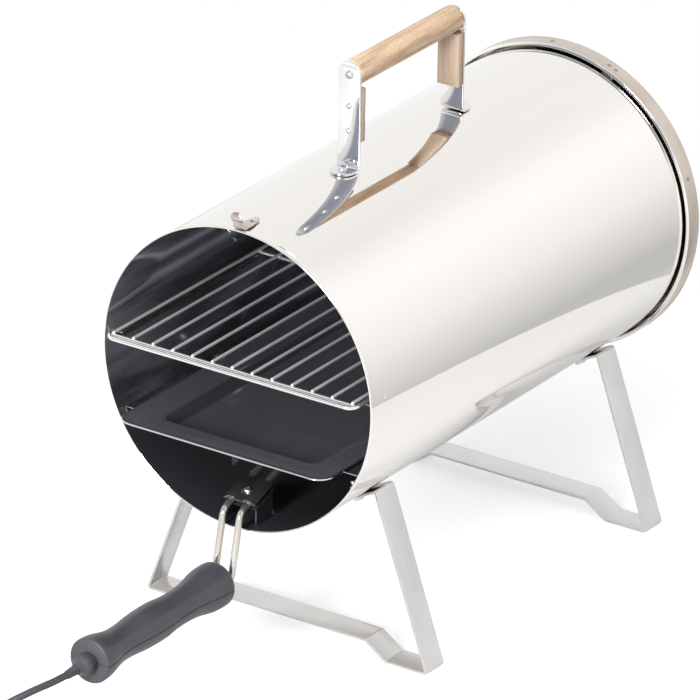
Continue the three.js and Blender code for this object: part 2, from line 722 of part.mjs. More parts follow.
// ---- heater grip ----
const gripProfile = [
  [0, 20], [0.03, 21.5], [0.12, 20.5], [0.24, 16.5], [0.36, 16], [0.5, 18.2],
  [0.64, 17.6], [0.76, 15.8], [0.86, 17.2], [0.95, 20.6], [0.985, 20.4], [1, 18.8],
];

function gripSolid(inset) {
  const points = gripProfile.map(([t, r]) => {
    const y = gripInnerEnd - t * gripLength;
    const held = THREE.MathUtils.clamp(y, gripOuterEnd + inset, gripInnerEnd - inset);
    return [r - inset, held];
  });
  const ends = [[0, points[0][1]], ...points, [0, points[points.length - 1][1]]];
  return turnedY(ends.reverse(), 24, 0, gripAxisHeight);
}

const glandNeck = 6;
const splitHalf = GAP / 2;

function gripShell(upper) {
  const limit = 60;
  const z0 = upper ? gripAxisHeight + splitHalf : gripAxisHeight - limit;
  const z1 = upper ? gripAxisHeight + limit : gripAxisHeight - splitHalf;
  const halfSpace = box(-limit, limit, gripOuterEnd - limit, gripInnerEnd + limit, z0, z1);
  const s = elementSpacing / 2;
  const bottom = gripAxisHeight - limit;
  const bosses = gripScrewYs.map((y) => rodZ(gripBossRadius, bottom, bottom + 2 * limit, 0, y));
  const tools = [
    cut(gripSolid(gripWall), ...bosses),
    rodY(elementRadius + GAP, gripInnerEnd - 20, gripInnerEnd + 5, s, gripAxisHeight),
    rodY(elementRadius + GAP, gripInnerEnd - 20, gripInnerEnd + 5, -s, gripAxisHeight),
    rodY(glandNeck + GAP, gripOuterEnd - 5, gripOuterEnd + 20, 0, gripAxisHeight, 16),
  ];
  for (const y of gripScrewYs) {
    tools.push(rodZ(2.7 + GAP, gripAxisHeight - limit, gripAxisHeight + gripScrewSeat, 0, y));
    tools.push(rodZ(1.5 + GAP, gripAxisHeight - limit, gripAxisHeight + 10, 0, y, 10));
  }
  return toGeometry(tools.reduce((s0, t) => s0.subtract(toSolid(t)), toSolid(gripSolid(0)))
    .intersect(toSolid(halfSpace)));
}

const gripScrewYs = [gripInnerEnd - 0.3 * gripLength, gripInnerEnd - 0.8 * gripLength];
const gripScrewSeat = -10;
const gripBossRadius = 5.4;

function gripShellScrew(y) {
  const seat = gripScrewSeat - GAP;
  const profile = [[0, seat - 2], [2.7, seat - 2], [2.7, seat], [1.5, seat], [1.5, 9], [0, 9]];
  return turnedUp(profile, 12, 0, y, gripAxisHeight);
}

add('heater_grip_top', gripShell(true), blackPlastic());
add('heater_grip_bottom', gripShell(false), blackPlastic());
for (const [index, y] of gripScrewYs.entries()) {
  add(`heater_grip_screw_${index + 1}`, gripShellScrew(y), polishedSteel());
}

// The ceramic block that the element's two ends run into, between the grip's shells.
function terminalBlock() {
  const rear = blockFront - blockLength;
  return box(-blockHalf, blockHalf, rear, blockFront, gripAxisHeight - blockRise, gripAxisHeight + blockRise);
}

const blockFront = gripInnerEnd - elementInGrip - GAP;
const blockHalf = elementSpacing / 2 + 2.5;
const blockLength = 18;
const blockRise = 5;
add('terminal_block', terminalBlock(), ceramic());

// The gland: a neck held in the grip's end, a ball-shaped nut and a short tapered collar.
function cordGland() {
  const y = gripOuterEnd;
  return turnedY([
    [0, glandFace], [cordRadius + 1.4, glandFace], [cordRadius + 2.6, glandFace + 5], [8.6, y - 12.5],
    [10.4, y - 9], [10.4, y - 4], [8.8, y - GAP], [glandNeck, y - GAP], [glandNeck, y + 4],
    [8, y + 4.4], [8, y + 8], [0, y + 8],
  ], 20, 0, gripAxisHeight);
}

add('cord_gland', cordGland(), blackPlastic());

// ---- supply cord, its coil and its plug ----
const floorLay = cordRadius + 0.2;
const route = [
  [0, glandFace - GAP, gripAxisHeight], [0, glandFace - 12, gripAxisHeight],
  [-3, glandFace - 30, gripAxisHeight - 1], [-12, glandFace - 50, gripAxisHeight - 5],
  [-27, glandFace - 68, gripAxisHeight - 15], [-45, glandFace - 83, gripAxisHeight - 32],
  [-62, glandFace - 96, gripAxisHeight - 54], [-79, glandFace - 107, gripAxisHeight - 75],
  [-97, glandFace - 117, floorLay + 2.5], [-114, glandFace - 126, floorLay],
  [-133, glandFace - 133.4, floorLay],
];

const routePoints = route.map((p) => new THREE.Vector3(...p));
const routeCurve = new THREE.CatmullRomCurve3(routePoints, false, 'centripetal');
add('power_cord', tubeAlong(routeCurve, cordRadius, 8, 30), cordRubber());

function coilRing() {
  const a = coilSectionHalf;
  const inner = coilMeanRadius - a;
  const outer = coilMeanRadius + a;
  const height = 6 * cordRadius + 0.5;
  const profile = [[inner, 0.2], [outer, 0.2], [outer, height], [inner, height], [inner, 0.2]];
  return turnedUp(profile, 32, coilCentre[0], coilCentre[1], 0);
}

add('cord_coil', coilRing(), cordRubber());

// The plug lies beside the coil, where the last turn runs out of it.
const plugRadius = 18.5;
const plugAxisX = coilCentre[0] - coilMeanRadius;
const coilOuter = coilMeanRadius + coilSectionHalf;
const plugTip = coilCentre[1] + Math.sqrt(coilOuter ** 2 - (coilMeanRadius - 5) ** 2) + GAP;
const plugLength = 62;
const plugFace = plugTip + plugLength;
const plugAxisZ = plugRadius + 0.2;
const pinRadius = 2.4;
const pinSpacing = 19;

function plugBody() {
  const body = turnedY([
    [0, plugTip], [4.4, plugTip], [6.6, plugTip + 24], [10, plugTip + 28], [15.5, plugTip + 34],
    [17.5, plugTip + 44], [plugRadius, plugTip + 52], [plugRadius, plugFace], [0, plugFace],
  ], 24, plugAxisX, plugAxisZ);
  const sockets = mirrored(pinSpacing / 2).map(([x]) => (
    rodY(pinRadius + GAP, plugFace - 8, plugFace + 2, plugAxisX + x, plugAxisZ)));
  return cut(body, ...sockets);
}

add('plug_body', plugBody(), blackPlastic());
for (const [x, label] of mirrored(pinSpacing / 2)) {
  const pin = rodY(pinRadius, plugFace - 8 + GAP, plugFace + 19, plugAxisX + x, plugAxisZ, 12);
  add(`plug_pin_${label}`, pin, polishedSteel());
}

// The row's origin is on the floor, midway along the object from the cord gland to the lid's knob.
model.position.y = -(glandFace + knobBase + knobHeight) / 2;

export default model;
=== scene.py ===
"""Looks of a horizontal barrel smoker with a plug-in electric heater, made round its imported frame.

A place is written in millimetres from the middle of the barrel's mouth, at floor height, with +X to the
right of someone who looks into the barrel, +Y into it and +Z up. A finished piece is put into the
frame's metres once, when its mesh is made.
"""

import json
import logging
import math
from collections.abc import Callable, Iterable, Sequence
from dataclasses import dataclass, field
from enum import Enum

import bmesh
import bpy
from mathutils import Matrix, Vector

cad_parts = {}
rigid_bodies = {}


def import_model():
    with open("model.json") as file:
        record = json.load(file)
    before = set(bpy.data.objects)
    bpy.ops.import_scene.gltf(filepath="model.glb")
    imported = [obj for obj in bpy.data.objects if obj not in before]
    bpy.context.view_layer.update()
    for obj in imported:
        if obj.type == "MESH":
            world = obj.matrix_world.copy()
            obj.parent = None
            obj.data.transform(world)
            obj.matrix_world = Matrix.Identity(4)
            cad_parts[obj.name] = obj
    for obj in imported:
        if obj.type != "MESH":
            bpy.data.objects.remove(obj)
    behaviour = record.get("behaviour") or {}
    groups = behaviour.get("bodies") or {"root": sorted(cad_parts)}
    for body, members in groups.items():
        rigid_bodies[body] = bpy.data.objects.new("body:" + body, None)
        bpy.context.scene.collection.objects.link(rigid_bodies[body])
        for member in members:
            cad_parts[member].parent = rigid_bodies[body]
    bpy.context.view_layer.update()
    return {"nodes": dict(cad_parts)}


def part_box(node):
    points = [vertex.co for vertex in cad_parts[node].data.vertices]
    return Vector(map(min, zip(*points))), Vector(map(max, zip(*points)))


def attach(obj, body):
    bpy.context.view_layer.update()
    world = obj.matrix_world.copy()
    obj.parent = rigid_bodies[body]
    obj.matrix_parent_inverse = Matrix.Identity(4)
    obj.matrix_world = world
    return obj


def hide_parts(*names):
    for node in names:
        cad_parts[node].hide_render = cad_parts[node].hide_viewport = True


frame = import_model()

LOG = logging.getLogger("smoker")
MM = 0.001
MOUTH_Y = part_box("barrel_shell")[0].y
CREASE = math.radians(32)
STRAIGHT = math.radians(89.5)
SMOKER_MIDDLE = Vector((0, 0, 0.25))
MERGE_MM = 0.002
# Nearly all of a noise's values lie between these two.
NOISE_LOW, NOISE_HIGH = 0.3, 0.7
X = Vector((1, 0, 0))
Y = Vector((0, 1, 0))
Z = Vector((0, 0, 1))
Point = Sequence[float]
Ring = list[Vector]


class Body(Enum):
    """The bodies of the frame that a piece can ride on."""

    SMOKER = "smoker_body"
    LID = "lid"
    GRATE = "grate"
    TRAY = "tray"
    HEATER = "heater"


class Slot(Enum):
    """The record's material slots."""

    POLISHED = "polished_steel"
    BRIGHT = "bright_steel"
    BRUSHED = "brushed_steel"
    HEATED = "heated_steel"
    TRAY = "dark_steel"
    BEECH = "beech"
    PLASTIC = "black_plastic"
    RUBBER = "cord_rubber"


class Grain(Enum):
    """The direction that a brushed or grown pattern runs in."""

    ALONG_X = 0
    ALONG_Y = 1
    ALONG_Z = 2
    AROUND_Y = 3


# ---- shader helpers ----
def linear(hex_colour: str) -> tuple[float, float, float, float]:
    """Turns an sRGB hex colour to the linear values that a shader reads.

    Args:
        hex_colour: The colour as "#RRGGBB".

    Returns:
        Red, green, blue and an alpha of 1.
    """
    values = [int(hex_colour[i : i + 2], 16) / 255 for i in (1, 3, 5)]
    return (*[v / 12.92 if v <= 0.04045 else ((v + 0.055) / 1.055) ** 2.4 for v in values], 1.0)


def add_node(
    tree: bpy.types.NodeTree,
    kind: str,
    inputs: dict[str | int, object] | None = None,
    **settings: object,
) -> bpy.types.Node:
    """Adds a node with its settings, values and links.

    Args:
        tree: The shader or geometry tree that gets the node.
        kind: The node's type name.
        inputs: Value or source socket for each input, by the input's name or number.
        **settings: The node's own properties.

    Returns:
        The new node.
    """
    node = tree.nodes.new(kind)
    for name, value in settings.items():
        setattr(node, name, value)
    for key, value in (inputs or {}).items():
        if isinstance(value, bpy.types.NodeSocket):
            tree.links.new(value, node.inputs[key])
        else:
            node.inputs[key].default_value = value
    return node


def fill_ramp(node: bpy.types.Node, stops: Sequence[tuple[float, tuple[float, ...]]]) -> None:
    """Sets a colour ramp's stops.

    Args:
        node: The colour ramp node.
        stops: Position and linear colour of each stop, in order.
    """
    elements = node.color_ramp.elements
    while len(elements) < len(stops):
        elements.new(1.0)
    for element, (position, colour) in zip(elements, stops):
        element.position = position
        element.color = colour


def grey(value: float) -> tuple[float, float, float, float]:
    """A linear grey."""
    return (value, value, value, 1.0)


# ---- finishes ----
@dataclass
class Surface:
    """A new material's tree and its principled shader, which a finish puts its pattern on."""

    tree: bpy.types.NodeTree
    shader: bpy.types.Node

    def link(self, source: bpy.types.NodeSocket, name: str) -> None:
        """Feeds one of the shader's inputs."""
        self.tree.links.new(source, self.shader.inputs[name])

    def noise(self, size_mm: float, stretch: Point = (1, 1, 1), detail: float = 3.0) -> bpy.types.NodeSocket:
        """Adds a noise whose features have a real size.

        Args:
            size_mm: Size of one feature in millimetres.
            stretch: How many times finer the pattern is along each axis.
            detail: Octaves of finer noise.

        Returns:
            The noise's factor.
        """
        place = add_node(self.tree, "ShaderNodeTexCoord").outputs["Object"]
        turned = add_node(self.tree, "ShaderNodeMapping", {"Vector": place, "Scale": stretch})
        values = {"Vector": turned.outputs[0], "Scale": 1 / (size_mm * MM), "Detail": detail}
        return add_node(self.tree, "ShaderNodeTexNoise", values).outputs[0]

    def gloss(self, source: bpy.types.NodeSocket, least: float, most: float) -> None:
        """Lets the roughness wander between two shares of the finish's own.

        Args:
            source: A noise's factor.
            least: The glossiest place's share.
            most: The dullest place's share.
        """
        usual = self.shader.inputs["Roughness"].default_value
        values = {"Value": source, 1: NOISE_LOW, 2: NOISE_HIGH, 3: usual * least, 4: usual * most}
        self.link(add_node(self.tree, "ShaderNodeMapRange", values).outputs[0], "Roughness")

    def tint(self, source: bpy.types.NodeSocket, first: str, second: str) -> None:
        """Lets the base colour wander between two colours, each "#RRGGBB", by a noise's factor."""
        ramp = add_node(self.tree, "ShaderNodeValToRGB", {0: source})
        fill_ramp(ramp, [(NOISE_LOW, linear(first)), (NOISE_HIGH, linear(second))])
        self.link(ramp.outputs[0], "Base Color")

    def emboss(self, source: bpy.types.NodeSocket, height_mm: float) -> None:
        """Adds a bump of a height in millimetres, over any bump that the shader has."""
        normal = self.shader.inputs["Normal"]
        inputs: dict[str | int, object] = {"Height": source, "Distance": height_mm * MM}
        if normal.is_linked:
            inputs["Normal"] = normal.links[0].from_socket
        self.link(add_node(self.tree, "ShaderNodeBump", inputs).outputs[0], "Normal")


@dataclass(frozen=True)
class Finish:
    """A real material with its surface. A subclass adds the pattern to the principled shader."""

    name: str
    colour: str
    roughness: float
    metallic: float = 1.0

    def material(self) -> bpy.types.Material:
        """Makes the material, or finds it where it has been made.

        Returns:
            The Blender material.
        """
        known = bpy.data.materials.get(self.name)
        if known:
            return known
        material = bpy.data.materials.new(self.name)
        material.use_nodes = True
        shader = material.node_tree.nodes["Principled BSDF"]
        shader.inputs["Base Color"].default_value = linear(self.colour)
        shader.inputs["Roughness"].default_value = self.roughness
        shader.inputs["Metallic"].default_value = self.metallic
        self.dress(Surface(material.node_tree, shader))
        return material

    def dress(self, surface: Surface) -> None:
        """Adds this finish's pattern; a plain finish has none."""


@dataclass(frozen=True)
class PolishedSheet(Finish):
    """Mirror-polished stainless sheet.

    Rolling leaves the sheet a little wavy, which bends its reflections, and the polish has faint
    scratches that run round the barrel and dull it here and there.
    """

    wave_mm: float = 0.05
    wave_size_mm: float = 90.0
    scratch_mm: float = 12.0
    scratch_fineness: float = 14.0

    def dress(self, surface: Surface) -> None:
        """Adds waves, scratches and dull places."""
        surface.emboss(surface.noise(self.wave_size_mm, detail=1.0), self.wave_mm)
        scratches = surface.noise(self.scratch_mm, stretch_of(Grain.AROUND_Y, self.scratch_fineness), 2.0)
        surface.gloss(scratches, 0.75, 1.35)


@dataclass(frozen=True)
class SmokedSheetWithPaintedLight(PolishedSheet):
    """Polished stainless under a thin film of smoke.

    Long pale streaks along the barrel are painted reflections, so the mirror is darker and paler in
    bands along the barrel. Low down the sheet is painted darker: painted shade where the tray shades it.
    """

    # Pale colour of the painted reflection streaks.
    painted_reflection_streak: str = "#D8DAE6"
    streak_mm: float = 160.0
    streak_fineness: float = 7.0
    painted_shade_height_mm: tuple[float, float] = (175.0, 300.0)
    painted_shade_shift: tuple[float, float] = (-0.4, 0.05)

    def dress(self, surface: Surface) -> None:
        """Adds the painted reflection streaks and the painted shade low down to the polished sheet's pattern.
        """
        super().dress(surface)
        tree = surface.tree
        # Long pale streaks along the barrel: painted reflections.
        streaks = surface.noise(self.streak_mm, stretch_of(Grain.ALONG_Y, self.streak_fineness), 4.0)
        place = add_node(tree, "ShaderNodeTexCoord").outputs["Object"]
        height = add_node(tree, "ShaderNodeSeparateXYZ", {0: place}).outputs[2]
        # Painted shade: low down the mix is shifted towards the darker colour, where the tray shades the
        # bottom.
        (bottom, top), (thick, thin) = self.painted_shade_height_mm, self.painted_shade_shift
        span = {"Value": height, 1: bottom * MM, 2: top * MM, 3: thick, 4: thin}
        painted_shade_low_down = add_node(tree, "ShaderNodeMapRange", span).outputs[0]
        # The painted reflection streaks and the painted shade low down together set the tint.
        film = add_node(tree, "ShaderNodeMath", {0: streaks, 1: painted_shade_low_down}).outputs[0]
        surface.tint(film, self.colour, self.painted_reflection_streak)


@dataclass(frozen=True)
class BrushedSteel(Finish):
    """Stainless strip or sheet with a fine brushed grain.

    The real grain is about 0.1 mm, too fine to show, so it is drawn at about 0.5 mm. It breaks the
    highlights into short silky streaks, and broad pale clouds show where the strip was handled.
    """

    grain: Grain = Grain.ALONG_Z
    cloud: str = "#C4C1BC"
    grain_mm: float = 0.5
    grain_length: float = 30.0
    depth_mm: float = 0.004
    cloud_mm: float = 40.0

    def dress(self, surface: Surface) -> None:
        """Adds the brushed grain and the clouds."""
        long = self.grain_mm * self.grain_length
        streaks = surface.noise(long, stretch_of(self.grain, self.grain_length), 3.0)
        surface.gloss(streaks, 0.8, 1.25)
        surface.emboss(streaks, self.depth_mm)
        surface.tint(surface.noise(self.cloud_mm), self.colour, self.cloud)


@dataclass(frozen=True)
class HeatedSteel(Finish):
    """Drawn stainless tube and sheet that the element has warmed.

    The oxide film gives straw and faint blue patches over a satin drawn surface.
    """

    patch: str = "#A58B6C"
    patch_mm: float = 45.0
    mark_mm: float = 6.0
    mark_depth_mm: float = 0.002

    def dress(self, surface: Surface) -> None:
        """Adds the straw patches and the drawing marks."""
        surface.tint(surface.noise(self.patch_mm), self.colour, self.patch)
        marks = surface.noise(self.mark_mm)
        surface.gloss(marks, 0.85, 1.2)
        surface.emboss(marks, self.mark_depth_mm)


@dataclass(frozen=True)
class Beech(Finish):
    """Sanded, unvarnished beech.

    The yearly rings give soft bands a few millimetres wide along the grain, the rays give short dark
    flecks 2 to 4 mm long, and the open pores leave fine grooves.
    """

    grain: Grain = Grain.ALONG_Y
    band: str = "#AD8B6A"
    fleck: str = "#8F6B4C"
    band_mm: float = 60.0
    band_fineness: float = 12.0
    band_share: tuple[float, float] = (0.34, 0.62)
    fleck_mm: float = 3.6
    fleck_fineness: float = 6.0
    fleck_share: tuple[float, float] = (0.62, 0.72)
    fleck_strength: float = 0.75
    pore_mm: float = 9.0
    pore_fineness: float = 22.0
    pore_depth_mm: float = 0.06

    def dress(self, surface: Surface) -> None:
        """Adds the bands, the flecks and the pores."""
        tree = surface.tree
        bands = surface.noise(self.band_mm, stretch_of(self.grain, self.band_fineness), 2.0)
        tone = add_node(tree, "ShaderNodeValToRGB", {0: bands})
        fill_ramp(tone, [(self.band_share[0], linear(self.band)), (self.band_share[1], linear(self.colour))])
        flecks = surface.noise(self.fleck_mm, stretch_of(self.grain, self.fleck_fineness), 1.0)
        low, high = self.fleck_share
        span = {"Value": flecks, 1: low, 2: high, 3: 0.0, 4: self.fleck_strength}
        marked = add_node(tree, "ShaderNodeMapRange", span)
        inputs = {0: marked.outputs[0], 6: tone.outputs[0], 7: linear(self.fleck)}
        mixed = add_node(tree, "ShaderNodeMix", inputs, data_type="RGBA")
        surface.link(mixed.outputs[2], "Base Color")
        pores = surface.noise(self.pore_mm, stretch_of(self.grain, self.pore_fineness), 2.0)
        surface.emboss(pores, self.pore_depth_mm)
        surface.gloss(pores, 0.85, 1.1)


@dataclass(frozen=True)
class Moulded(Finish):
    """Moulded plastic, rubber or fired ceramic with a fine grain all over.

    The grain spreads the highlight, and slow changes in gloss show where hands or the mould rubbed it.
    """

    grain_mm: float = 0.7
    depth_mm: float = 0.03
    rub_mm: float = 22.0

    def dress(self, surface: Surface) -> None:
        """Adds the moulded grain and the changes in gloss."""
        surface.emboss(surface.noise(self.grain_mm, detail=2.0), self.depth_mm)
        surface.gloss(surface.noise(self.rub_mm), 0.85, 1.15)


def stretch_of(grain: Grain, times: float) -> tuple[float, float, float]:
    """How a noise is squeezed so that it runs along a grain.

    Args:
        grain: The direction that the grain runs in.
        times: How much finer the noise is across the grain.

    Returns:
        The scale along X, Y and Z.
    """
    if grain is Grain.AROUND_Y:
        return (1.0, times, 1.0)
    return tuple(1.0 if axis == grain.value else times for axis in range(3))


# Rolled and mirror-polished sheet: it mirrors the room, and its waves bend the mirrored edges a little.
OUTER_SHEET = PolishedSheet("polished_stainless_sheet", "#F1EEEA", 0.045)
# The same sheet inside, which mirrors only its own dark hollow through a grey smoke film, with pale
# painted reflection streaks along it and painted shade that darkens it low down.
INNER_SHEET = SmokedSheetWithPaintedLight("smoked_stainless_painted_light", "#63646B", 0.06, 0.8, wave_mm=0.1, wave_size_mm=60)
# Pressed steel painted near black with a soft broad sheen: painted shade for the dark hollow that the steel
# mirrors.
TRAY_SHEET = PolishedSheet("tray_steel_painted_dark", "#5E5C63", 0.1, 0.45, wave_mm=0.1, wave_size_mm=70)
# The rolled rim in plain polished steel: a thin bright line round the tray that is painted dark.
TRAY_RIM = PolishedSheet("bright_tray_rim", "#DAD8D6", 0.12, wave_mm=0.02, wave_size_mm=30)
# Stainless brushed round the hoop: a silky band with a faint straw tone, a painted reflection of warm
# surroundings.
HOOP_SHEET = BrushedSteel("brushed_hoop_stainless", "#D6CBC0", 0.24, grain=Grain.AROUND_Y, cloud="#C6B9AC")
# Stainless brushed straight across the disc: a soft level sheen.
LID_SHEET = BrushedSteel("brushed_lid_stainless", "#DEDAD4", 0.2, grain=Grain.ALONG_X, cloud="#CFCAC3")
# Mill-finished strip, brushed lengthwise: satin grey with a sparkling grain.
LEG_STRIP = BrushedSteel("brushed_leg_stainless", "#DAD8D7", 0.24, cloud="#D1CFCD")
# Strip polished nearly bright: it mirrors the room in soft-edged patches.
UPRIGHT_STRIP = BrushedSteel("polished_upright_stainless", "#EFEDEE", 0.1, cloud="#E2E1E4")
# Tumbled spring strip: a warm satin.
LATCH_STRIP = BrushedSteel("brushed_latch_stainless", "#CFC5BC", 0.2, grain=Grain.ALONG_Y, cloud="#BDB2A8")
# Plain folded strip in the smoke: a dull grey satin.
RAIL_STRIP = BrushedSteel("brushed_rail_stainless", "#BDBBB8", 0.22, grain=Grain.ALONG_Y)
# Drawn rod with a satin surface: an even silver line.
ROD_STEEL = PolishedSheet("satin_rod_steel", "#F2F1F0", 0.16, 0.6, wave_mm=0.0, wave_size_mm=30)
# Drawn and electropolished wire: fine light and dark lines along it.
WIRE_STEEL = PolishedSheet("bright_wire_steel", "#E4E3E1", 0.16, 0.9, wave_mm=0.0, wave_size_mm=30)
# Sheet pressed and tinted by a spot welder: a small dull brown-grey dot.
WELD_MARK = PolishedSheet("dull_weld_mark", "#A2988D", 0.35, wave_mm=0.01, wave_size_mm=3)
# Zinc-plated steel: bright heads with a crisp glint.
FASTENER = PolishedSheet("bright_plated_fastener", "#DCDBD9", 0.2, wave_mm=0.01, wave_size_mm=3)
# Drawn stainless tube, warmed: pale straw with dark edges.
TUBE_STEEL = HeatedSteel("straw_tinted_tube", "#D4D1CD", 0.18, 0.92, patch="#BDB6AC")
# Bent sheet, warmed: it mirrors the hollow and looks bronze-dark.
CLAMP_STEEL = HeatedSteel("straw_tinted_clamp", "#A9A6A3", 0.12, 0.95, patch="#8F877C")
# Sheet under smoke film: charcoal with a weak sheen.
SEAT_STEEL = HeatedSteel("smoked_seat_steel", "#5C5A5C", 0.25, 0.85, patch="#4A4644")
# Turned and sanded beech: pale pink-brown with dark flecks.
GRIP_WOOD = Beech("sanded_beech_grip", "#D2B699", 0.6, 0.0, band="#AD8F72", fleck="#856A51")
# Thin beech board cut across, a little greyed.
PAD_WOOD = Beech("sanded_beech_pad", "#B5A08E", 0.65, 0.0, Grain.ALONG_Z, band="#A8917C", fleck="#8F7660")
# Moulded glass-filled nylon: charcoal with a leathery grain.
GRIP_PLASTIC = Moulded("moulded_black_nylon", "#3D3C42", 0.4, 0.0, grain_mm=0.9, depth_mm=0.08)
# Moulded plastic of the plug: black and a little glossier.
PLUG_PLASTIC = Moulded("moulded_plug_plastic", "#26262A", 0.42, 0.0)
# Extruded rubber sheath: dark grey and matt.
CORD_RUBBER = Moulded("rubber_cord_sheath", "#34353A", 0.5, 0.0, grain_mm=1.2, depth_mm=0.02)
# Fired, unglazed ceramic: chalky off-white.
FIRED_CERAMIC = Moulded("fired_ceramic", "#E4DFD3", 0.7, 0.0, grain_mm=0.4)


# ---- lines and rings ----
def cad_box(node: str) -> tuple[Vector, Vector]:
    """A CAD node's lowest and highest corners in millimetres from the mouth."""
    low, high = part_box(node)
    shift = Vector((0, MOUTH_Y, 0))
    return (low - shift) / MM, (high - shift) / MM


@dataclass(frozen=True)
class RoundNode:
    """The size of a round CAD node that lies along Y, in millimetres from the mouth."""

    x: float
    axis: float
    radius: float
    front: float
    rear: float

    @classmethod
    def of(cls, node: str) -> "RoundNode":
        """Measures a node from its box."""
        low, high = cad_box(node)
        return cls((low.x + high.x) / 2, (low.z + high.z) / 2, (high.x - low.x) / 2, low.y, high.y)


def to_frame(point: Point) -> Vector:
    """A place in millimetres from the mouth, as a point in the frame."""
    return Vector(point) * MM + Vector((0, MOUTH_Y, 0))


def bent(corners: Sequence[Point], radius: float, steps: int = 8) -> list[Vector]:
    """Joins straight runs with round bends.

    Args:
        corners: The line's ends and its sharp corners.
        radius: Radius of each bend, in the corners' units.
        steps: Segments in each bend.

    Returns:
        The points of the bent line.
    """
    points = [Vector(c) for c in corners]
    line = [points[0]]
    for before, corner, after in zip(points, points[1:], points[2:]):
        back, on = (before - corner).normalized(), (after - corner).normalized()
        half = back.angle(on) / 2
        if half > STRAIGHT:
            line.append(corner)
            continue
        reach = radius / math.tan(half)
        centre = corner + (back + on).normalized() * (radius / math.sin(half))
        start, end = corner + back * reach - centre, corner + on * reach - centre
        line += [centre + start.slerp(end, i / steps).normalized() * radius for i in range(steps + 1)]
    return [*line, points[-1]]


def circle(radius: float, steps: int, centre: Point = (0, 0), start: float = 0.0) -> list[Vector]:
    """Points round a circle, as 2D vectors.

    Args:
        radius: The circle's radius.
        steps: Number of points.
        centre: Its centre.
        start: Angle of the first point in radians.

    Returns:
        The points, anticlockwise.
    """
    angles = [start + math.tau * i / steps for i in range(steps)]
    return [Vector((centre[0] + radius * math.cos(a), centre[1] + radius * math.sin(a))) for a in angles]


def arc(centre: Point, radius: float, start: float, end: float, steps: int) -> list[tuple[float, float]]:
    """Points along an arc between two angles in degrees, both ends included."""
    angles = [math.radians(start + (end - start) * i / steps) for i in range(steps + 1)]
    return [(centre[0] + radius * math.cos(a), centre[1] + radius * math.sin(a)) for a in angles]


def rounded_rect(half_width: float, y0: float, y1: float, corner: float, z: float, steps: int = 8) -> Ring:
    """A level rectangle with round corners, centred on x = 0.

    Args:
        half_width: Half its size along X.
        y0: Its near edge.
        y1: Its far edge.
        corner: Radius of the corners.
        z: Its height.
        steps: Segments in each corner.

    Returns:
        The ring of points.
    """
    inner, near, far = half_width - corner, y0 + corner, y1 - corner
    turns = [(inner, near, -90), (inner, far, 0), (-inner, far, 90), (-inner, near, 180)]
    flat = [p for x, y, a in turns for p in arc((x, y), corner, a, a + 90, steps)]
    return [Vector((x, y, z)) for x, y in flat]


def plain_section(half_width: float, half_thickness: float, corner: float) -> list[Vector]:
    """The section of a strip with rounded edges, as 2D points.

    Args:
        half_width: Half the strip's width.
        half_thickness: Half its thickness.
        corner: Radius of its edges.

    Returns:
        The points round the section.
    """
    corner = min(corner, half_width * 0.98, half_thickness * 0.98)
    w, t = half_width - corner, half_thickness - corner
    turns = [(w, -t, -90), (w, t, 0), (-w, t, 90), (-w, -t, 180)]
    return [Vector(p) for x, y, a in turns for p in arc((x, y), corner, a, a + 90, 2)]


@dataclass
class Strip:
    """A bent metal strip: a line that its middle follows, its width and its thickness."""

    line: list[Vector]
    width_axis: Vector
    half_width: float | Callable[[float], float]
    thickness: float
    edge: float = 0.35

    def rings(self) -> list[Ring]:
        """Sets the strip's section along its line, with its ends eased.

        Returns:
            One ring of points for each place on the line.
        """
        line = self.eased(self.line)
        along = [0.0]
        for a, b in zip(line, line[1:]):
            along.append(along[-1] + (b - a).length)
        rings = []
        for i, place in enumerate(line):
            before, after = line[max(i - 1, 0)], line[min(i + 1, len(line) - 1)]
            out = (after - before).normalized().cross(self.width_axis).normalized()
            less = self.edge * 0.9 if i in (0, len(line) - 1) else 0.0
            wide = self.half_width(along[i]) if callable(self.half_width) else self.half_width
            section = plain_section(max(wide - less, 0.05), self.thickness / 2 - less, self.edge)
            rings.append([place + self.width_axis * p.x + out * p.y for p in section])
        return rings

    def eased(self, line: list[Vector]) -> list[Vector]:
        """The line with one more point just inside each end, where the eased edge begins."""
        first = line[0] + (line[1] - line[0]).normalized() * self.edge
        last = line[-1] + (line[-2] - line[-1]).normalized() * self.edge
        return [line[0], first, *line[1:-1], last, line[-1]]

    def draft(self) -> "Draft":
        """The strip as a closed draft."""
        return Draft().loft(self.rings())


def spaced(line: list[Vector], step: float) -> list[Vector]:
    """The line with its long runs divided.

    Args:
        line: The line's points.
        step: The longest run that stays whole.

    Returns:
        The points, with none further apart than the step.
    """
    points = [line[0]]
    for a, b in zip(line, line[1:]):
        parts = max(1, math.ceil((b - a).length / step))
        points += [a.lerp(b, i / parts) for i in range(1, parts + 1)]
    return points


def length_of(line: list[Vector]) -> float:
    """The length of a line of points."""
    return sum((b - a).length for a, b in zip(line, line[1:]))


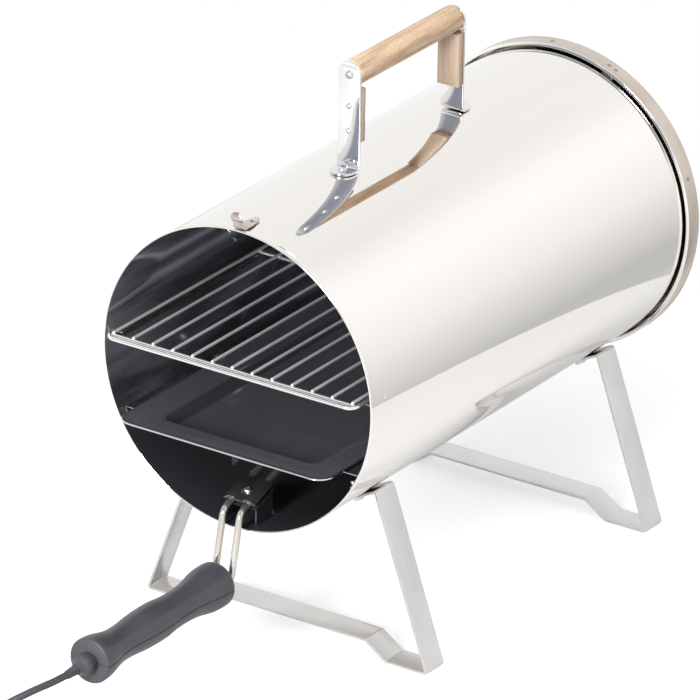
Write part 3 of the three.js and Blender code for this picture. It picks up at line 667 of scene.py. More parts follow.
# ---- meshes ----
@dataclass
class Draft:
    """Points and faces of one piece before it is finished, in millimetres from the mouth."""

    points: list[Vector] = field(default_factory=list)
    faces: list[tuple[int, ...]] = field(default_factory=list)
    finish_of: list[int] = field(default_factory=list)

    def face(self, corners: Iterable[int], finish: int = 0) -> None:
        """Adds one face."""
        self.faces.append(tuple(corners))
        self.finish_of.append(finish)

    def loft(
        self,
        rings: Sequence[Ring],
        finish: int | Sequence[int] = 0,
        capped: bool = True,
        looped: bool = False,
    ) -> "Draft":
        """Joins rings of equally many points with faces.

        Args:
            rings: The rings, in order along the piece.
            finish: One finish number, or one for each band between two rings.
            capped: Whether the first and last ring are closed with a face.
            looped: Whether the last ring joins the first.

        Returns:
            This draft.
        """
        start, count = len(self.points), len(rings[0])
        self.points += [p.copy() for ring in rings for p in ring]
        bands = len(rings) if looped else len(rings) - 1
        for band in range(bands):
            a, b = start + band * count, start + (band + 1) % len(rings) * count
            which = finish if isinstance(finish, int) else finish[band]
            for i in range(count):
                j = (i + 1) % count
                self.face((a + i, a + j, b + j, b + i), which)
        if capped and not looped:
            last = start + (len(rings) - 1) * count
            ends = (finish, finish) if isinstance(finish, int) else (finish[0], finish[-1])
            self.face(range(start + count - 1, start - 1, -1), ends[0])
            self.face(range(last, last + count), ends[1])
        return self

    def lathe(
        self,
        profile: Sequence[tuple[float, float]],
        steps: int = 96,
        finish: int | Sequence[int] = 0,
        looped: bool = False,
    ) -> "Draft":
        """Turns a profile of (radius, distance) about the Z axis through the origin.

        Args:
            profile: The profile's points, on the axis at both ends unless it is looped.
            steps: Facets round the axis.
            finish: One finish number, or one for each band.
            looped: Whether the profile closes on itself.

        Returns:
            This draft.
        """
        rings = [[Vector((p.x, p.y, h)) for p in circle(r, steps)] for r, h in profile]
        return self.loft(rings, finish, capped=False, looped=looped)

    def placed(self, turn: Matrix) -> "Draft":
        """Moves every point by a matrix."""
        self.points = [turn @ p for p in self.points]
        return self

    def take(self, other: "Draft", turn: Matrix | None = None) -> "Draft":
        """Adds a copy of another draft.

        Args:
            other: The draft to copy.
            turn: Where the copy goes.

        Returns:
            This draft.
        """
        start = len(self.points)
        self.points += [(turn @ p if turn else p.copy()) for p in other.points]
        for corners, finish in zip(other.faces, other.finish_of):
            self.face([start + c for c in corners], finish)
        return self

    def mesh(self, name: str) -> bpy.types.Mesh:
        """Makes the closed mesh in the frame's metres, with its faces outwards.

        Args:
            name: The mesh's name.

        Returns:
            The mesh.
        """
        made = bmesh.new()
        corners = [made.verts.new(to_frame(p)) for p in self.points]
        for face, finish in zip(self.faces, self.finish_of):
            made.faces.new([corners[i] for i in face]).material_index = finish
        bmesh.ops.remove_doubles(made, verts=made.verts, dist=MERGE_MM * MM)
        bmesh.ops.recalc_face_normals(made, faces=made.faces)
        mesh = bpy.data.meshes.new(name)
        made.to_mesh(mesh)
        made.free()
        return mesh

    def piece(
        self, name: str, body: Body, slot: Slot, finishes: Sequence[Finish], replaced: Sequence[str] = ()
    ) -> bpy.types.Object:
        """Makes the draft a piece of the object; slot is not used, and the other arguments are those of
        adopt.
        """
        return adopt(self.mesh(name), name, body, finishes, replaced)


def along_y(x: float, y: float, z: float, outward: int = 1) -> Matrix:
    """Sets a piece that was turned about Z on a line along Y.

    Args:
        x: The line's place.
        y: Where the piece's origin goes.
        z: The line's height.
        outward: 1 where the piece's Z points to +Y, -1 to -Y.

    Returns:
        The matrix.
    """
    return Matrix.Translation((x, y, z)) @ Matrix.Rotation(math.radians(-90 * outward), 4, "X")


def standing(place: Point, up: Point, spin: float = 0.0) -> Matrix:
    """Sets a piece that was made about Z at a place, with its Z along a direction.

    Args:
        place: Where its origin goes.
        up: The direction of its Z axis.
        spin: Turn about its own axis, in degrees.

    Returns:
        The matrix.
    """
    turn = Z.rotation_difference(Vector(up)).to_matrix().to_4x4()
    return Matrix.Translation(place) @ turn @ Matrix.Rotation(math.radians(spin), 4, "Z")


def adopt(
    mesh: bpy.types.Mesh,
    name: str,
    body: Body,
    finishes: Sequence[Finish],
    replaced: Sequence[str] = (),
) -> bpy.types.Object:
    """Makes a mesh a piece of the object.

    Args:
        mesh: The piece's mesh, in its place in the frame.
        name: The piece's name.
        body: The body that it rides on.
        finishes: Its materials, in the order of its finish numbers.
        replaced: CAD nodes that it stands for.

    Returns:
        The piece.
    """
    if mesh.materials:
        mesh.materials.clear()
    for finish in finishes:
        mesh.materials.append(finish.material())
    mesh.shade_smooth()
    mesh.set_sharp_from_angle(angle=CREASE)
    piece = bpy.data.objects.new(name, mesh)
    bpy.context.scene.collection.objects.link(piece)
    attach(piece, body.value)
    if replaced:
        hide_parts(*replaced)
    LOG.info("%s: %d faces, rides on %s", name, len(mesh.polygons), body.value)
    return piece


def dress_node(node: str, finish: Finish) -> None:
    """Gives a CAD node that stays its finish."""
    mesh = frame["nodes"][node].data
    mesh.materials.clear()
    mesh.materials.append(finish.material())
    LOG.info("%s: CAD node in %s", node, finish.name)


# ---- geometry node trees ----
@dataclass
class Tree:
    """A geometry node tree with named inputs, which is run on a mesh and then baked."""

    name: str
    inputs: dict[str, str]
    group: bpy.types.NodeTree = field(init=False)
    source: bpy.types.Node = field(init=False)
    identifiers: dict[str, str] = field(default_factory=dict)

    def __post_init__(self) -> None:
        """Makes the tree with its sockets and the node that holds its inputs."""
        self.group = bpy.data.node_groups.new(self.name, "GeometryNodeTree")
        sockets = self.group.interface
        kinds = {"Geometry": "NodeSocketGeometry", "Finish": "NodeSocketMaterial", **self.inputs}
        for name, kind in kinds.items():
            socket = sockets.new_socket(name=name, in_out="INPUT", socket_type=kind)
            self.identifiers[name] = socket.identifier
        sockets.new_socket(name="Geometry", in_out="OUTPUT", socket_type="NodeSocketGeometry")
        self.source = self.add("NodeGroupInput")

    def add(
        self, kind: str, inputs: dict[str | int, object] | None = None, **settings: object
    ) -> bpy.types.Node:
        """Adds a node to this tree."""
        return add_node(self.group, kind, inputs, **settings)

    def close(self, geometry: bpy.types.NodeSocket) -> None:
        """Ends the tree: makes instances real and sets the finish."""
        real = self.add("GeometryNodeRealizeInstances", {0: geometry})
        inputs = {0: real.outputs[0], "Material": self.source.outputs["Finish"]}
        dressed = self.add("GeometryNodeSetMaterial", inputs)
        self.add("NodeGroupOutput", {0: dressed.outputs[0]})

    def bake(self, mesh: bpy.types.Mesh, finish: Finish, **values: float) -> bpy.types.Mesh:
        """Runs the tree on a mesh.

        Args:
            mesh: What the tree starts from, in its place in the frame.
            finish: The material that it sets.
            **values: The named inputs.

        Returns:
            The plain mesh that comes out.
        """
        carrier = bpy.data.objects.new("carrier", mesh)
        bpy.context.scene.collection.objects.link(carrier)
        modifier = carrier.modifiers.new(self.name, "NODES")
        modifier.node_group = self.group
        modifier[self.identifiers["Finish"]] = finish.material()
        for name, value in values.items():
            modifier[self.identifiers[name]] = value
        graph = bpy.context.evaluated_depsgraph_get()
        result = bpy.data.meshes.new_from_object(carrier.evaluated_get(graph))
        carrier.modifiers.remove(modifier)
        bpy.data.objects.remove(carrier)
        return result


def wire_tree() -> Tree:
    """A round wire along every line of a mesh's edges.

    Returns:
        The tree, with the inputs Radius, in metres, and Sides.
    """
    tree = Tree("wire_along_line", {"Radius": "NodeSocketFloat", "Sides": "NodeSocketInt"})
    geometry, radius, sides = (tree.source.outputs[n] for n in ("Geometry", "Radius", "Sides"))
    lines = tree.add("GeometryNodeMeshToCurve", {0: geometry})
    section = tree.add("GeometryNodeCurvePrimitiveCircle", {"Resolution": sides, "Radius": radius})
    inputs = {"Curve": lines.outputs[0], "Profile Curve": section.outputs[0], "Fill Caps": True}
    wires = tree.add("GeometryNodeCurveToMesh", inputs)
    tree.close(wires.outputs[0])
    return tree


def rod_tree() -> Tree:
    """Equal round rods with round ends, one on each point of a mesh, along Y.

    Returns:
        The tree, with the inputs Radius and Length, in metres, and Sides.
    """
    kinds = {"Radius": "NodeSocketFloat", "Length": "NodeSocketFloat", "Sides": "NodeSocketInt"}
    tree = Tree("rods_on_points", kinds)
    geometry, radius, length, sides = (tree.source.outputs[n] for n in ("Geometry", *kinds))
    bar = tree.add("GeometryNodeMeshCylinder", {"Vertices": sides, "Radius": radius, "Depth": length})
    end = tree.add("GeometryNodeMeshUVSphere", {"Segments": sides, "Rings": 8, "Radius": radius})
    half = tree.add("ShaderNodeMath", {0: length, 1: 0.5}, operation="MULTIPLY")
    parts = [bar.outputs[0]]
    for sign in (1.0, -1.0):
        reach = tree.add("ShaderNodeMath", {0: half.outputs[0], 1: sign}, operation="MULTIPLY")
        place = tree.add("ShaderNodeCombineXYZ", {2: reach.outputs[0]})
        moved = tree.add("GeometryNodeTransform", {0: end.outputs[0], "Translation": place.outputs[0]})
        parts.append(moved.outputs[0])
    rod = tree.add("GeometryNodeJoinGeometry")
    for part in parts:
        tree.group.links.new(part, rod.inputs[0])
    turned = tree.add("GeometryNodeTransform", {0: rod.outputs[0], "Rotation": (math.pi / 2, 0, 0)})
    copies = tree.add("GeometryNodeInstanceOnPoints", {0: geometry, "Instance": turned.outputs[0]})
    tree.close(copies.outputs[0])
    return tree


def stud_tree() -> Tree:
    """Small domed studs, one on each point of a mesh, standing along the point's normal.

    Returns:
        The tree, with the inputs Radius and Height, in metres.
    """
    tree = Tree("studs_on_points", {"Radius": "NodeSocketFloat", "Height": "NodeSocketFloat"})
    geometry, radius, height = (tree.source.outputs[n] for n in ("Geometry", "Radius", "Height"))
    size = tree.add("ShaderNodeCombineXYZ", {0: radius, 1: radius, 2: height})
    dome = tree.add("GeometryNodeMeshUVSphere", {"Segments": 20, "Rings": 10, "Radius": 1.0})
    stud = tree.add("GeometryNodeTransform", {0: dome.outputs[0], "Scale": size.outputs[0]})
    normal = tree.add("GeometryNodeInputNamedAttribute", {"Name": "outward"}, data_type="FLOAT_VECTOR")
    turn = tree.add("FunctionNodeAlignRotationToVector", {"Vector": normal.outputs[0]}, axis="Z")
    inputs = {0: geometry, "Instance": stud.outputs[0], "Rotation": turn.outputs[0]}
    tree.close(tree.add("GeometryNodeInstanceOnPoints", inputs).outputs[0])
    return tree


def line_mesh(lines: Iterable[tuple[list[Vector], bool]]) -> bpy.types.Mesh:
    """A mesh of edges along lines.

    Args:
        lines: Each line's points, and whether it closes on itself.

    Returns:
        The mesh, in the frame's metres.
    """
    points: list[Vector] = []
    edges: list[tuple[int, int]] = []
    for line, closed in lines:
        start = len(points)
        points += [to_frame(p) for p in line]
        edges += [(i, i + 1) for i in range(start, len(points) - 1)]
        if closed:
            edges.append((len(points) - 1, start))
    mesh = bpy.data.meshes.new("lines")
    mesh.from_pydata(points, edges, [])
    return mesh


def point_mesh(points: Sequence[Vector], outward: Sequence[Vector] = ()) -> bpy.types.Mesh:
    """A mesh of loose points, each with the direction that it faces.

    Args:
        points: Places in millimetres from the mouth.
        outward: The direction at each, if the pieces on them are turned.

    Returns:
        The mesh, in the frame's metres.
    """
    mesh = bpy.data.meshes.new("points")
    mesh.from_pydata([to_frame(p) for p in points], [], [])
    if outward:
        attribute = mesh.attributes.new("outward", "FLOAT_VECTOR", "POINT")
        attribute.data.foreach_set("vector", [c for v in outward for c in v])
    return mesh


# ---- fasteners, made about Z with their seat at z = 0 and their head above it ----
def round_head(radius: float, height: float) -> Draft:
    """A domed head with a soft rim, as on a rivet.

    Args:
        radius: The head's radius.
        height: Its height.

    Returns:
        The head.
    """
    rim = 0.18 * height
    crown = [(radius * math.cos(a), rim + (height - rim) * math.sin(a)) for a in quarter_turn(7)]
    return Draft().lathe([(0, -0.25), (radius, -0.25), (radius, rim), *crown[1:-1], (0, height)], 32)


def shank(radius: float, length: float, point: float, steps: int) -> Draft:
    """A plain shank that goes up from z = 0.

    Args:
        radius: Its radius.
        length: Its length.
        point: Length of its pointed end.
        steps: Facets round it.

    Returns:
        The shank.
    """
    return Draft().lathe([(0, 0), (radius, 0), (radius, length - point), (0, length)], steps)


def fluted(shape: Sequence[tuple[float, float, float]], flutes: int, depth: float, place: Vector) -> Draft:
    """A round body along Y with soft flutes in it.

    Args:
        shape: Each ring's distance, its radius and its share of the flutes' depth.
        flutes: Number of flutes.
        depth: Their depth.
        place: Where the body begins, on its axis.

    Returns:
        The body.
    """
    rings = []
    for along, radius, share in shape:
        ring = []
        for i in range(flutes * 6):
            turn = math.tau * i / (flutes * 6)
            reach = radius - depth * share * (0.5 + 0.5 * math.cos(turn * flutes))
            ring.append(place + Vector((reach * math.sin(turn), along, reach * math.cos(turn))))
        rings.append(ring)
    return Draft().loft(rings)


def places_round(
    angles: Sequence[float], along: Sequence[float], radius: float, axis: float
) -> tuple[list[Vector], list[Vector]]:
    """Places on the outside of a round that lies along Y.

    Args:
        angles: Degrees from the top, towards +X.
        along: Distances along Y at each angle.
        radius: The round's radius.
        axis: Its axis's height.

    Returns:
        The places, and the direction that each faces.
    """
    places, outward = [], []
    for angle in angles:
        turn = math.radians(angle)
        way = Vector((math.sin(turn), 0, math.cos(turn)))
        places += [way * radius + Vector((0, y, axis)) for y in along]
        outward += [way] * len(along)
    return places, outward


def quarter_turn(steps: int) -> list[float]:
    """Angles from 0 to a right angle, in radians."""
    return [math.pi / 2 * i / steps for i in range(steps + 1)]


def block(low: Point, high: Point) -> Draft:
    """A plain box between two corners, as a tool to cut with."""
    (x0, y0, z0), (x1, y1, z1) = low, high
    rings = [[Vector(p) for p in ((x0, y0, z), (x1, y0, z), (x1, y1, z), (x0, y1, z))] for z in (z0, z1)]
    return Draft().loft(rings)


def carved(body: Draft, tools: Sequence[tuple[str, Draft]]) -> Draft:
    """Joins other solids to a draft or cuts them from it.

    Args:
        body: The draft to start from.
        tools: UNION or DIFFERENCE and a solid, in order.

    Returns:
        The finished solid.
    """
    scene = bpy.context.scene.collection.objects
    holder = bpy.data.objects.new("carved", body.mesh("carved"))
    scene.link(holder)
    for operation, draft in tools:
        tool = bpy.data.objects.new("tool", draft.mesh("tool"))
        scene.link(tool)
        modifier = holder.modifiers.new("carve", "BOOLEAN")
        modifier.operation, modifier.solver, modifier.object = operation, "EXACT", tool
    graph = bpy.context.evaluated_depsgraph_get()
    mesh = bpy.data.meshes.new_from_object(holder.evaluated_get(graph))
    shift = Vector((0, MOUTH_Y, 0))
    result = Draft([(v.co - shift) / MM for v in mesh.vertices])
    for polygon in mesh.polygons:
        result.face(polygon.vertices)
    for modifier in list(holder.modifiers):
        bpy.data.objects.remove(modifier.object)
    bpy.data.objects.remove(holder)
    return result


def cross_head(radius: float, height: float) -> Draft:
    """A pan head with a cross recess.

    Args:
        radius: The head's radius.
        height: Its height.

    Returns:
        The head.
    """
    wing, slot, deep = radius * 0.58, radius * 0.13, height * 0.4
    cross = [block((-a, -b, deep), (a, b, height + 1)) for a, b in ((wing, slot), (slot, wing))]
    return carved(round_head(radius, height), [("DIFFERENCE", tool) for tool in cross])


def hexagon(radius: float, height: float, bore: float = 0.0) -> Draft:
    """A hexagon head, or a nut where it has a bore, with its corners eased.

    Args:
        radius: Radius over the corners.
        height: Its height.
        bore: Radius of the bore.

    Returns:
        The head or nut.
    """
    steps = 48
    flat = radius * math.cos(math.pi / 6)

    def ring(scale: float, z: float, most: float) -> Ring:
        """The outline at a height, held within a circle."""
        points = []
        for p in circle(1.0, steps):
            turn = math.atan2(p.y, p.x) % (math.pi / 3) - math.pi / 6
            reach = min(flat * scale / math.cos(turn), most)
            points.append(Vector((p.x * reach, p.y * reach, z)))
        return points

    rings = [ring(1, 0, radius * 0.95), ring(1, height * 0.12, radius), ring(1, height * 0.85, radius)]
    rings += [ring(1, height * 0.93, radius * 0.95), ring(0.97, height, flat * 0.96)]
    if not bore:
        return Draft().loft(rings)
    inner = [ring(1, z, bore) for z in (height, 0)]
    return Draft().loft([*rings, *inner], looped=True)


# ---- barrel ----
@dataclass
class Barrel:
    """The round sheet barrel, open at the mouth, with its hem, rear end plate and rails."""

    hem_width: float = 5.6
    hem_rise: float = 0.7
    wall: float = 1.0
    edge: float = 0.3
    facets: int = 256
    bands_along: int = 8
    rail_bend: float = 1.2
    rail_flange: tuple[tuple[str, float], ...] = (("grate_rail", 0.30), ("tray_rail", 0.62))
    weld_angles: tuple[float, ...] = (84.0, -84.0)
    weld_places: tuple[float, ...] = (24.0, 258.0, 492.0)
    weld_radius: float = 2.2
    weld_height: float = 0.16
    length: float = field(init=False)
    radius: float = field(init=False)
    axis: float = field(init=False)

    def __post_init__(self) -> None:
        """Takes the barrel's size and place from the frame."""
        size = RoundNode.of("barrel_shell")
        self.length, self.radius, self.axis = size.rear, size.radius - self.hem_rise, size.axis

    def build(self) -> None:
        """Makes the barrel's pieces."""
        self.shell()
        self.rear_plate()
        self.rails()
        self.weld_marks()

    def shell(self) -> None:
        """The wall with a folded hem round the mouth: polished outside, dark inside."""
        r, inner, w, e = self.radius, self.radius - self.wall, self.hem_width, self.edge
        top, long = r + self.hem_rise, self.length
        nose_radius = (top - inner) / 2
        nose = arc((nose_radius, inner + nose_radius), nose_radius, 270, 90, 8)
        levels = [long * i / self.bands_along for i in range(1, self.bands_along)]
        outside = [(top, w - 0.6), (top - 0.15, w), (r + 0.02, w + 0.7), (r, w + 1.6)]
        outside += [(r, y) for y in levels]
        ends = [(r, long - e), (r - e, long), (inner + e, long), (inner, long - e)]
        inside = [(inner, y) for y in reversed(levels)]
        profile = [(radius, y) for y, radius in nose] + outside + ends + inside
        outer_bands = len(nose) + len(outside) + 1
        bands = [0 if 2 <= i < outer_bands else 1 for i in range(len(profile))]
        draft = Draft().lathe(profile, self.facets, bands, looped=True).placed(along_y(0, 0, self.axis))
        draft.piece("barrel", Body.SMOKER, Slot.POLISHED, [OUTER_SHEET, INNER_SHEET], ["barrel_shell"])

    def rear_plate(self) -> None:
        """The plate that closes the barrel's rear end, with its turned-in flange."""
        size = RoundNode.of("rear_end_plate")
        outer, bend, back = size.radius, 3.0, size.rear
        front = back - self.wall
        corner_in = arc((outer - bend, front - bend + 1), bend - 1, 90, 0, 6)
        corner_out = arc((outer - bend, back - bend), bend, 0, 90, 6)
        profile = [(0, front), *corner_in, (outer - self.wall, size.front), (outer, size.front)]
        profile += [*corner_out, (0, back)]
        bands = [1] * (len(corner_in) + 2) + [0] * (len(corner_out) + 1)
        draft = Draft().lathe(profile, 192, bands).placed(along_y(0, 0, self.axis))
        draft.piece("rear_plate", Body.SMOKER, Slot.POLISHED, [OUTER_SHEET, INNER_SHEET], ["rear_end_plate"])

    def rails(self) -> None:
        """The four bent shelves that carry the grate and the tray."""
        half = self.wall / 2
        for node, flange in self.rail_flange:
            for side, sign in (("right", 1), ("left", -1)):
                name = f"{node}_{side}"
                low, high = cad_box(name)
                inner, outer = (low.x, high.x) if sign > 0 else (high.x, low.x)
                top = high.z - half
                corner = outer - sign * half
                drop = (top - low.z) * flange
                corners = [(inner, 0, top), (corner, 0, top), (outer - sign * (half + drop), 0, low.z + 0.4)]
                line = [p + Y * (low.y + high.y) / 2 for p in bent(corners, self.rail_bend, 5)]
                strip = Strip(line, Y, (high.y - low.y) / 2, self.wall, self.edge)
                strip.draft().piece(name + "_strip", Body.SMOKER, Slot.BRUSHED, [RAIL_STRIP], [name])

    def weld_marks(self) -> None:
        """The faint round marks on the outside where the rails are spot welded."""
        places = point_mesh(*places_round(self.weld_angles, self.weld_places, self.radius, self.axis))
        mesh = STUDS.bake(places, OUTER_SHEET, Radius=self.weld_radius * MM, Height=self.weld_height * MM)
        adopt(mesh, "barrel_weld_marks", Body.SMOKER, [OUTER_SHEET])


@dataclass
class Lid:
    """The lift-off lid that stands on the barrel's rear end: hoop, dished disc, knob and clips."""

    sheet: float = 1.0
    lip: float = 1.6
    lip_depth: float = 3.4
    facets: int = 256
    dish: float = 3.0
    dish_radius: float = 96.0
    mark_angles: tuple[float, ...] = (-4.0, 20.5, 23.5, 71.0, 135.0, 197.0, 262.0, 265.0)
    mark_setback: float = 9.0
    mark_radius: float = 2.2
    mark_height: float = 0.3
    clips: tuple[int, ...] = (1, 2, 3)

    def build(self) -> None:
        """Makes the lid's pieces."""
        self.hoop()
        self.disc()
        self.knob()
        self.marks()
        for index in self.clips:
            dress_node(f"lid_clip_{index}", RAIL_STRIP)
        dress_node("lid_knob_screw", FASTENER)

    def hoop(self) -> None:
        """The brushed hoop with its bright front edge."""
        size = RoundNode.of("lid_hoop")
        outer, near, far = size.radius, size.front, size.rear
        inner, half = outer - self.sheet, self.lip / 2
        lip = (near + half, outer - self.lip_depth + half)
        front = arc(lip, half, 0, -90, 3) + arc(lip, half, 270, 180, 3)[1:]
        front += arc((near + half, outer - half), half, 180, 90, 5)
        rear = [(outer, far - 1.6), (outer - 0.5, far - 0.4), (outer - 1.2, far), (inner - 0.4, far)]
        profile = [(inner, near + self.lip + 0.6), *[(r, y) for y, r in front], *rear]
        bands = [1] * len(front) + [0] * (len(rear) - 1) + [0, 2]
        draft = Draft().lathe(profile, self.facets, bands, looped=True).placed(along_y(0, 0, size.axis))
        draft.piece("hoop", Body.LID, Slot.BRUSHED, [HOOP_SHEET, OUTER_SHEET, LID_SHEET], ["lid_hoop"])

    def disc(self) -> None:
        """The dished disc, pressed in one with a raised ring round its dish."""
        size = RoundNode.of("lid_disc")
        rear, deep, r = size.rear, size.rear - self.dish, self.dish_radius
        face = [(0, deep), (r, deep), (r + 1.4, deep + 0.4), (r + 3.2, rear - 0.4), (r + 4.6, rear)]
        face += [(size.radius - 12, rear), (size.radius - 10, rear), (size.radius, rear)]
        back = [(radius, y - self.sheet) for radius, y in reversed(face)]
        draft = Draft().lathe(face + back, 192).placed(along_y(0, 0, size.axis))
        draft.piece("disc", Body.LID, Slot.BRUSHED, [LID_SHEET], ["lid_disc"])

    def knob(self) -> None:
        """The turned beech knob."""
        size = RoundNode.of("lid_knob")
        r, long = size.radius, size.rear - size.front
        shape = [(9, 0), (9, 1), (8.5, 5), (8.9, 9), (10.5, 12.5), (13.8, 15.4), (r - 2, 18), (r - 0.4, 20.5)]
        shape += [(r, 23), (r - 0.7, long - 4), (r - 3, long - 1.5), (r - 7, long - 0.3), (5, long)]
        line = smooth_curve([Vector(place) for place in shape], 5)
        profile = [(0, 0), *[(p.x, p.y) for p in line], (0, long)]
        draft = Draft().lathe(profile, 64).placed(along_y(0, size.front, size.axis))
        draft.piece("knob", Body.LID, Slot.BEECH, [GRIP_WOOD], ["lid_knob"])

    def marks(self) -> None:
        """The spot weld marks round the hoop."""
        size = RoundNode.of("lid_hoop")
        along = [size.front + self.mark_setback]
        places = point_mesh(*places_round(self.mark_angles, along, size.radius, size.axis))
        mesh = STUDS.bake(places, WELD_MARK, Radius=self.mark_radius * MM, Height=self.mark_height * MM)
        adopt(mesh, "hoop_weld_marks", Body.LID, [WELD_MARK])


def smooth_curve(points: Sequence[Vector], steps: int) -> list[Vector]:
    """A smooth curve through points, with centripetal spacing.

    Args:
        points: The points that it passes through.
        steps: Segments between two of them.

    Returns:
        The curve's points.
    """
    ends = [points[0] * 2 - points[1], *points, points[-1] * 2 - points[-2]]
    curve = [points[0].copy()]
    for a, b, c, d in zip(ends, ends[1:], ends[2:], ends[3:]):
        t1, t2, t3 = (math.sqrt((q - p).length) for p, q in ((a, b), (b, c), (c, d)))
        into = (b - a) / t1 - (c - a) / (t1 + t2) + (c - b) / t2
        out = (c - b) / t2 - (d - b) / (t2 + t3) + (d - c) / t3
        for i in range(1, steps + 1):
            t = i / steps
            h = (2 * t**3 - 3 * t**2 + 1, t**3 - 2 * t**2 + t, -2 * t**3 + 3 * t**2, t**3 - t**2)
            curve.append(b * h[0] + into * (t2 * h[1]) + c * h[2] + out * (t2 * h[3]))
    return curve


# ---- legs ----
@dataclass
class LegFrame:
    """One bent strip that makes both legs, both feet and the bar between them, with its bolts."""

    place: str
    thickness: float = 2.5
    clearance: float = 0.3
    bolt_angle: float = 27.0
    flange_in: float = 17.0
    flange_out: float = 32.0
    foot_spread: float = 155.0
    foot_length: float = 45.0
    kink_run: float = 23.0
    bar_height: float = 18.0
    bend_radius: float = 2.4
    bolt_radius: float = 5.5
    bolt_head: float = 4.0
    nut_height: float = 5.0
    nut_bore: float = 3.1
    washer: float = 1.1
    out: tuple[float, float] = field(init=False)
    along: tuple[float, float] = field(init=False)
    axis: float = field(init=False)

    def build(self, barrel: Barrel) -> None:
        """Makes the strip and its bolts and nuts.

        Args:
            barrel: The barrel that it is bolted under.
        """
        node = f"leg_frame_{self.place}"
        low, high = cad_box(node)
        middle = (low.y + high.y) / 2
        self.find_bolts(barrel)
        half = self.thickness / 2
        out = barrel.radius + self.clearance + half
        foot = self.foot_spread - half
        right = [
            self.flange_point(out, -self.flange_in),
            self.flange_point(out, self.flange_out),
            (foot, half),
            (self.foot_spread - self.foot_length, half),
            (self.foot_spread - self.foot_length - self.kink_run, self.bar_height - half),
        ]
        corners = [(x, middle, z) for x, z in right] + [(-x, middle, z) for x, z in reversed(right)]
        strip = Strip(bent(corners, self.bend_radius), Y, (high.y - low.y) / 2, self.thickness, 0.4)
        name = f"leg_strip_{self.place}"
        strip.draft().piece(name, Body.SMOKER, Slot.BRUSHED, [LEG_STRIP], [node])
        self.bolts(barrel, middle)

    def find_bolts(self, barrel: Barrel) -> None:
        """Works out the bolts' direction from the barrel's axis."""
        turn = math.radians(self.bolt_angle)
        self.out = (math.sin(turn), -math.cos(turn))
        self.along = (math.cos(turn), math.sin(turn))
        self.axis = barrel.axis

    def flange_point(self, out: float, along: float) -> tuple[float, float]:
        """A place beside the right bolt: out from the barrel's axis, then along the flange."""
        return (
            out * self.out[0] + along * self.along[0],
            self.axis + out * self.out[1] + along * self.along[1],
        )

    def bolts(self, barrel: Barrel, y: float) -> None:
        """The hexagon bolts under the flanges and the nuts inside the barrel."""
        under = barrel.radius + 2 * self.clearance + self.thickness
        seat = barrel.radius - barrel.wall - self.washer
        centre = Vector((0, y, self.axis))
        for side, sign in (("right", 1), ("left", -1)):
            way = Vector((sign * self.out[0], 0, self.out[1]))
            head = hexagon(self.bolt_radius, self.bolt_head)
            bolt = Draft().take(head, standing(centre + way * under, way, 10))
            stem = Draft().lathe([(0, 0), (3, 0), (3, 14.5), (2.4, 15.4), (0, 15.4)], 32)
            bolt.take(stem, standing(centre + way * (under + 0.5), -way))
            nut = hexagon(self.bolt_radius, self.nut_height, self.nut_bore)
            nut = Draft().take(nut, standing(centre + way * seat, -way, 20))
            for kind, draft in (("bolt", bolt), ("nut", nut)):
                node = f"leg_{kind}_{self.place}_{side}"
                draft.piece(node + "_hex", Body.SMOKER, Slot.BRIGHT, [FASTENER], [node])


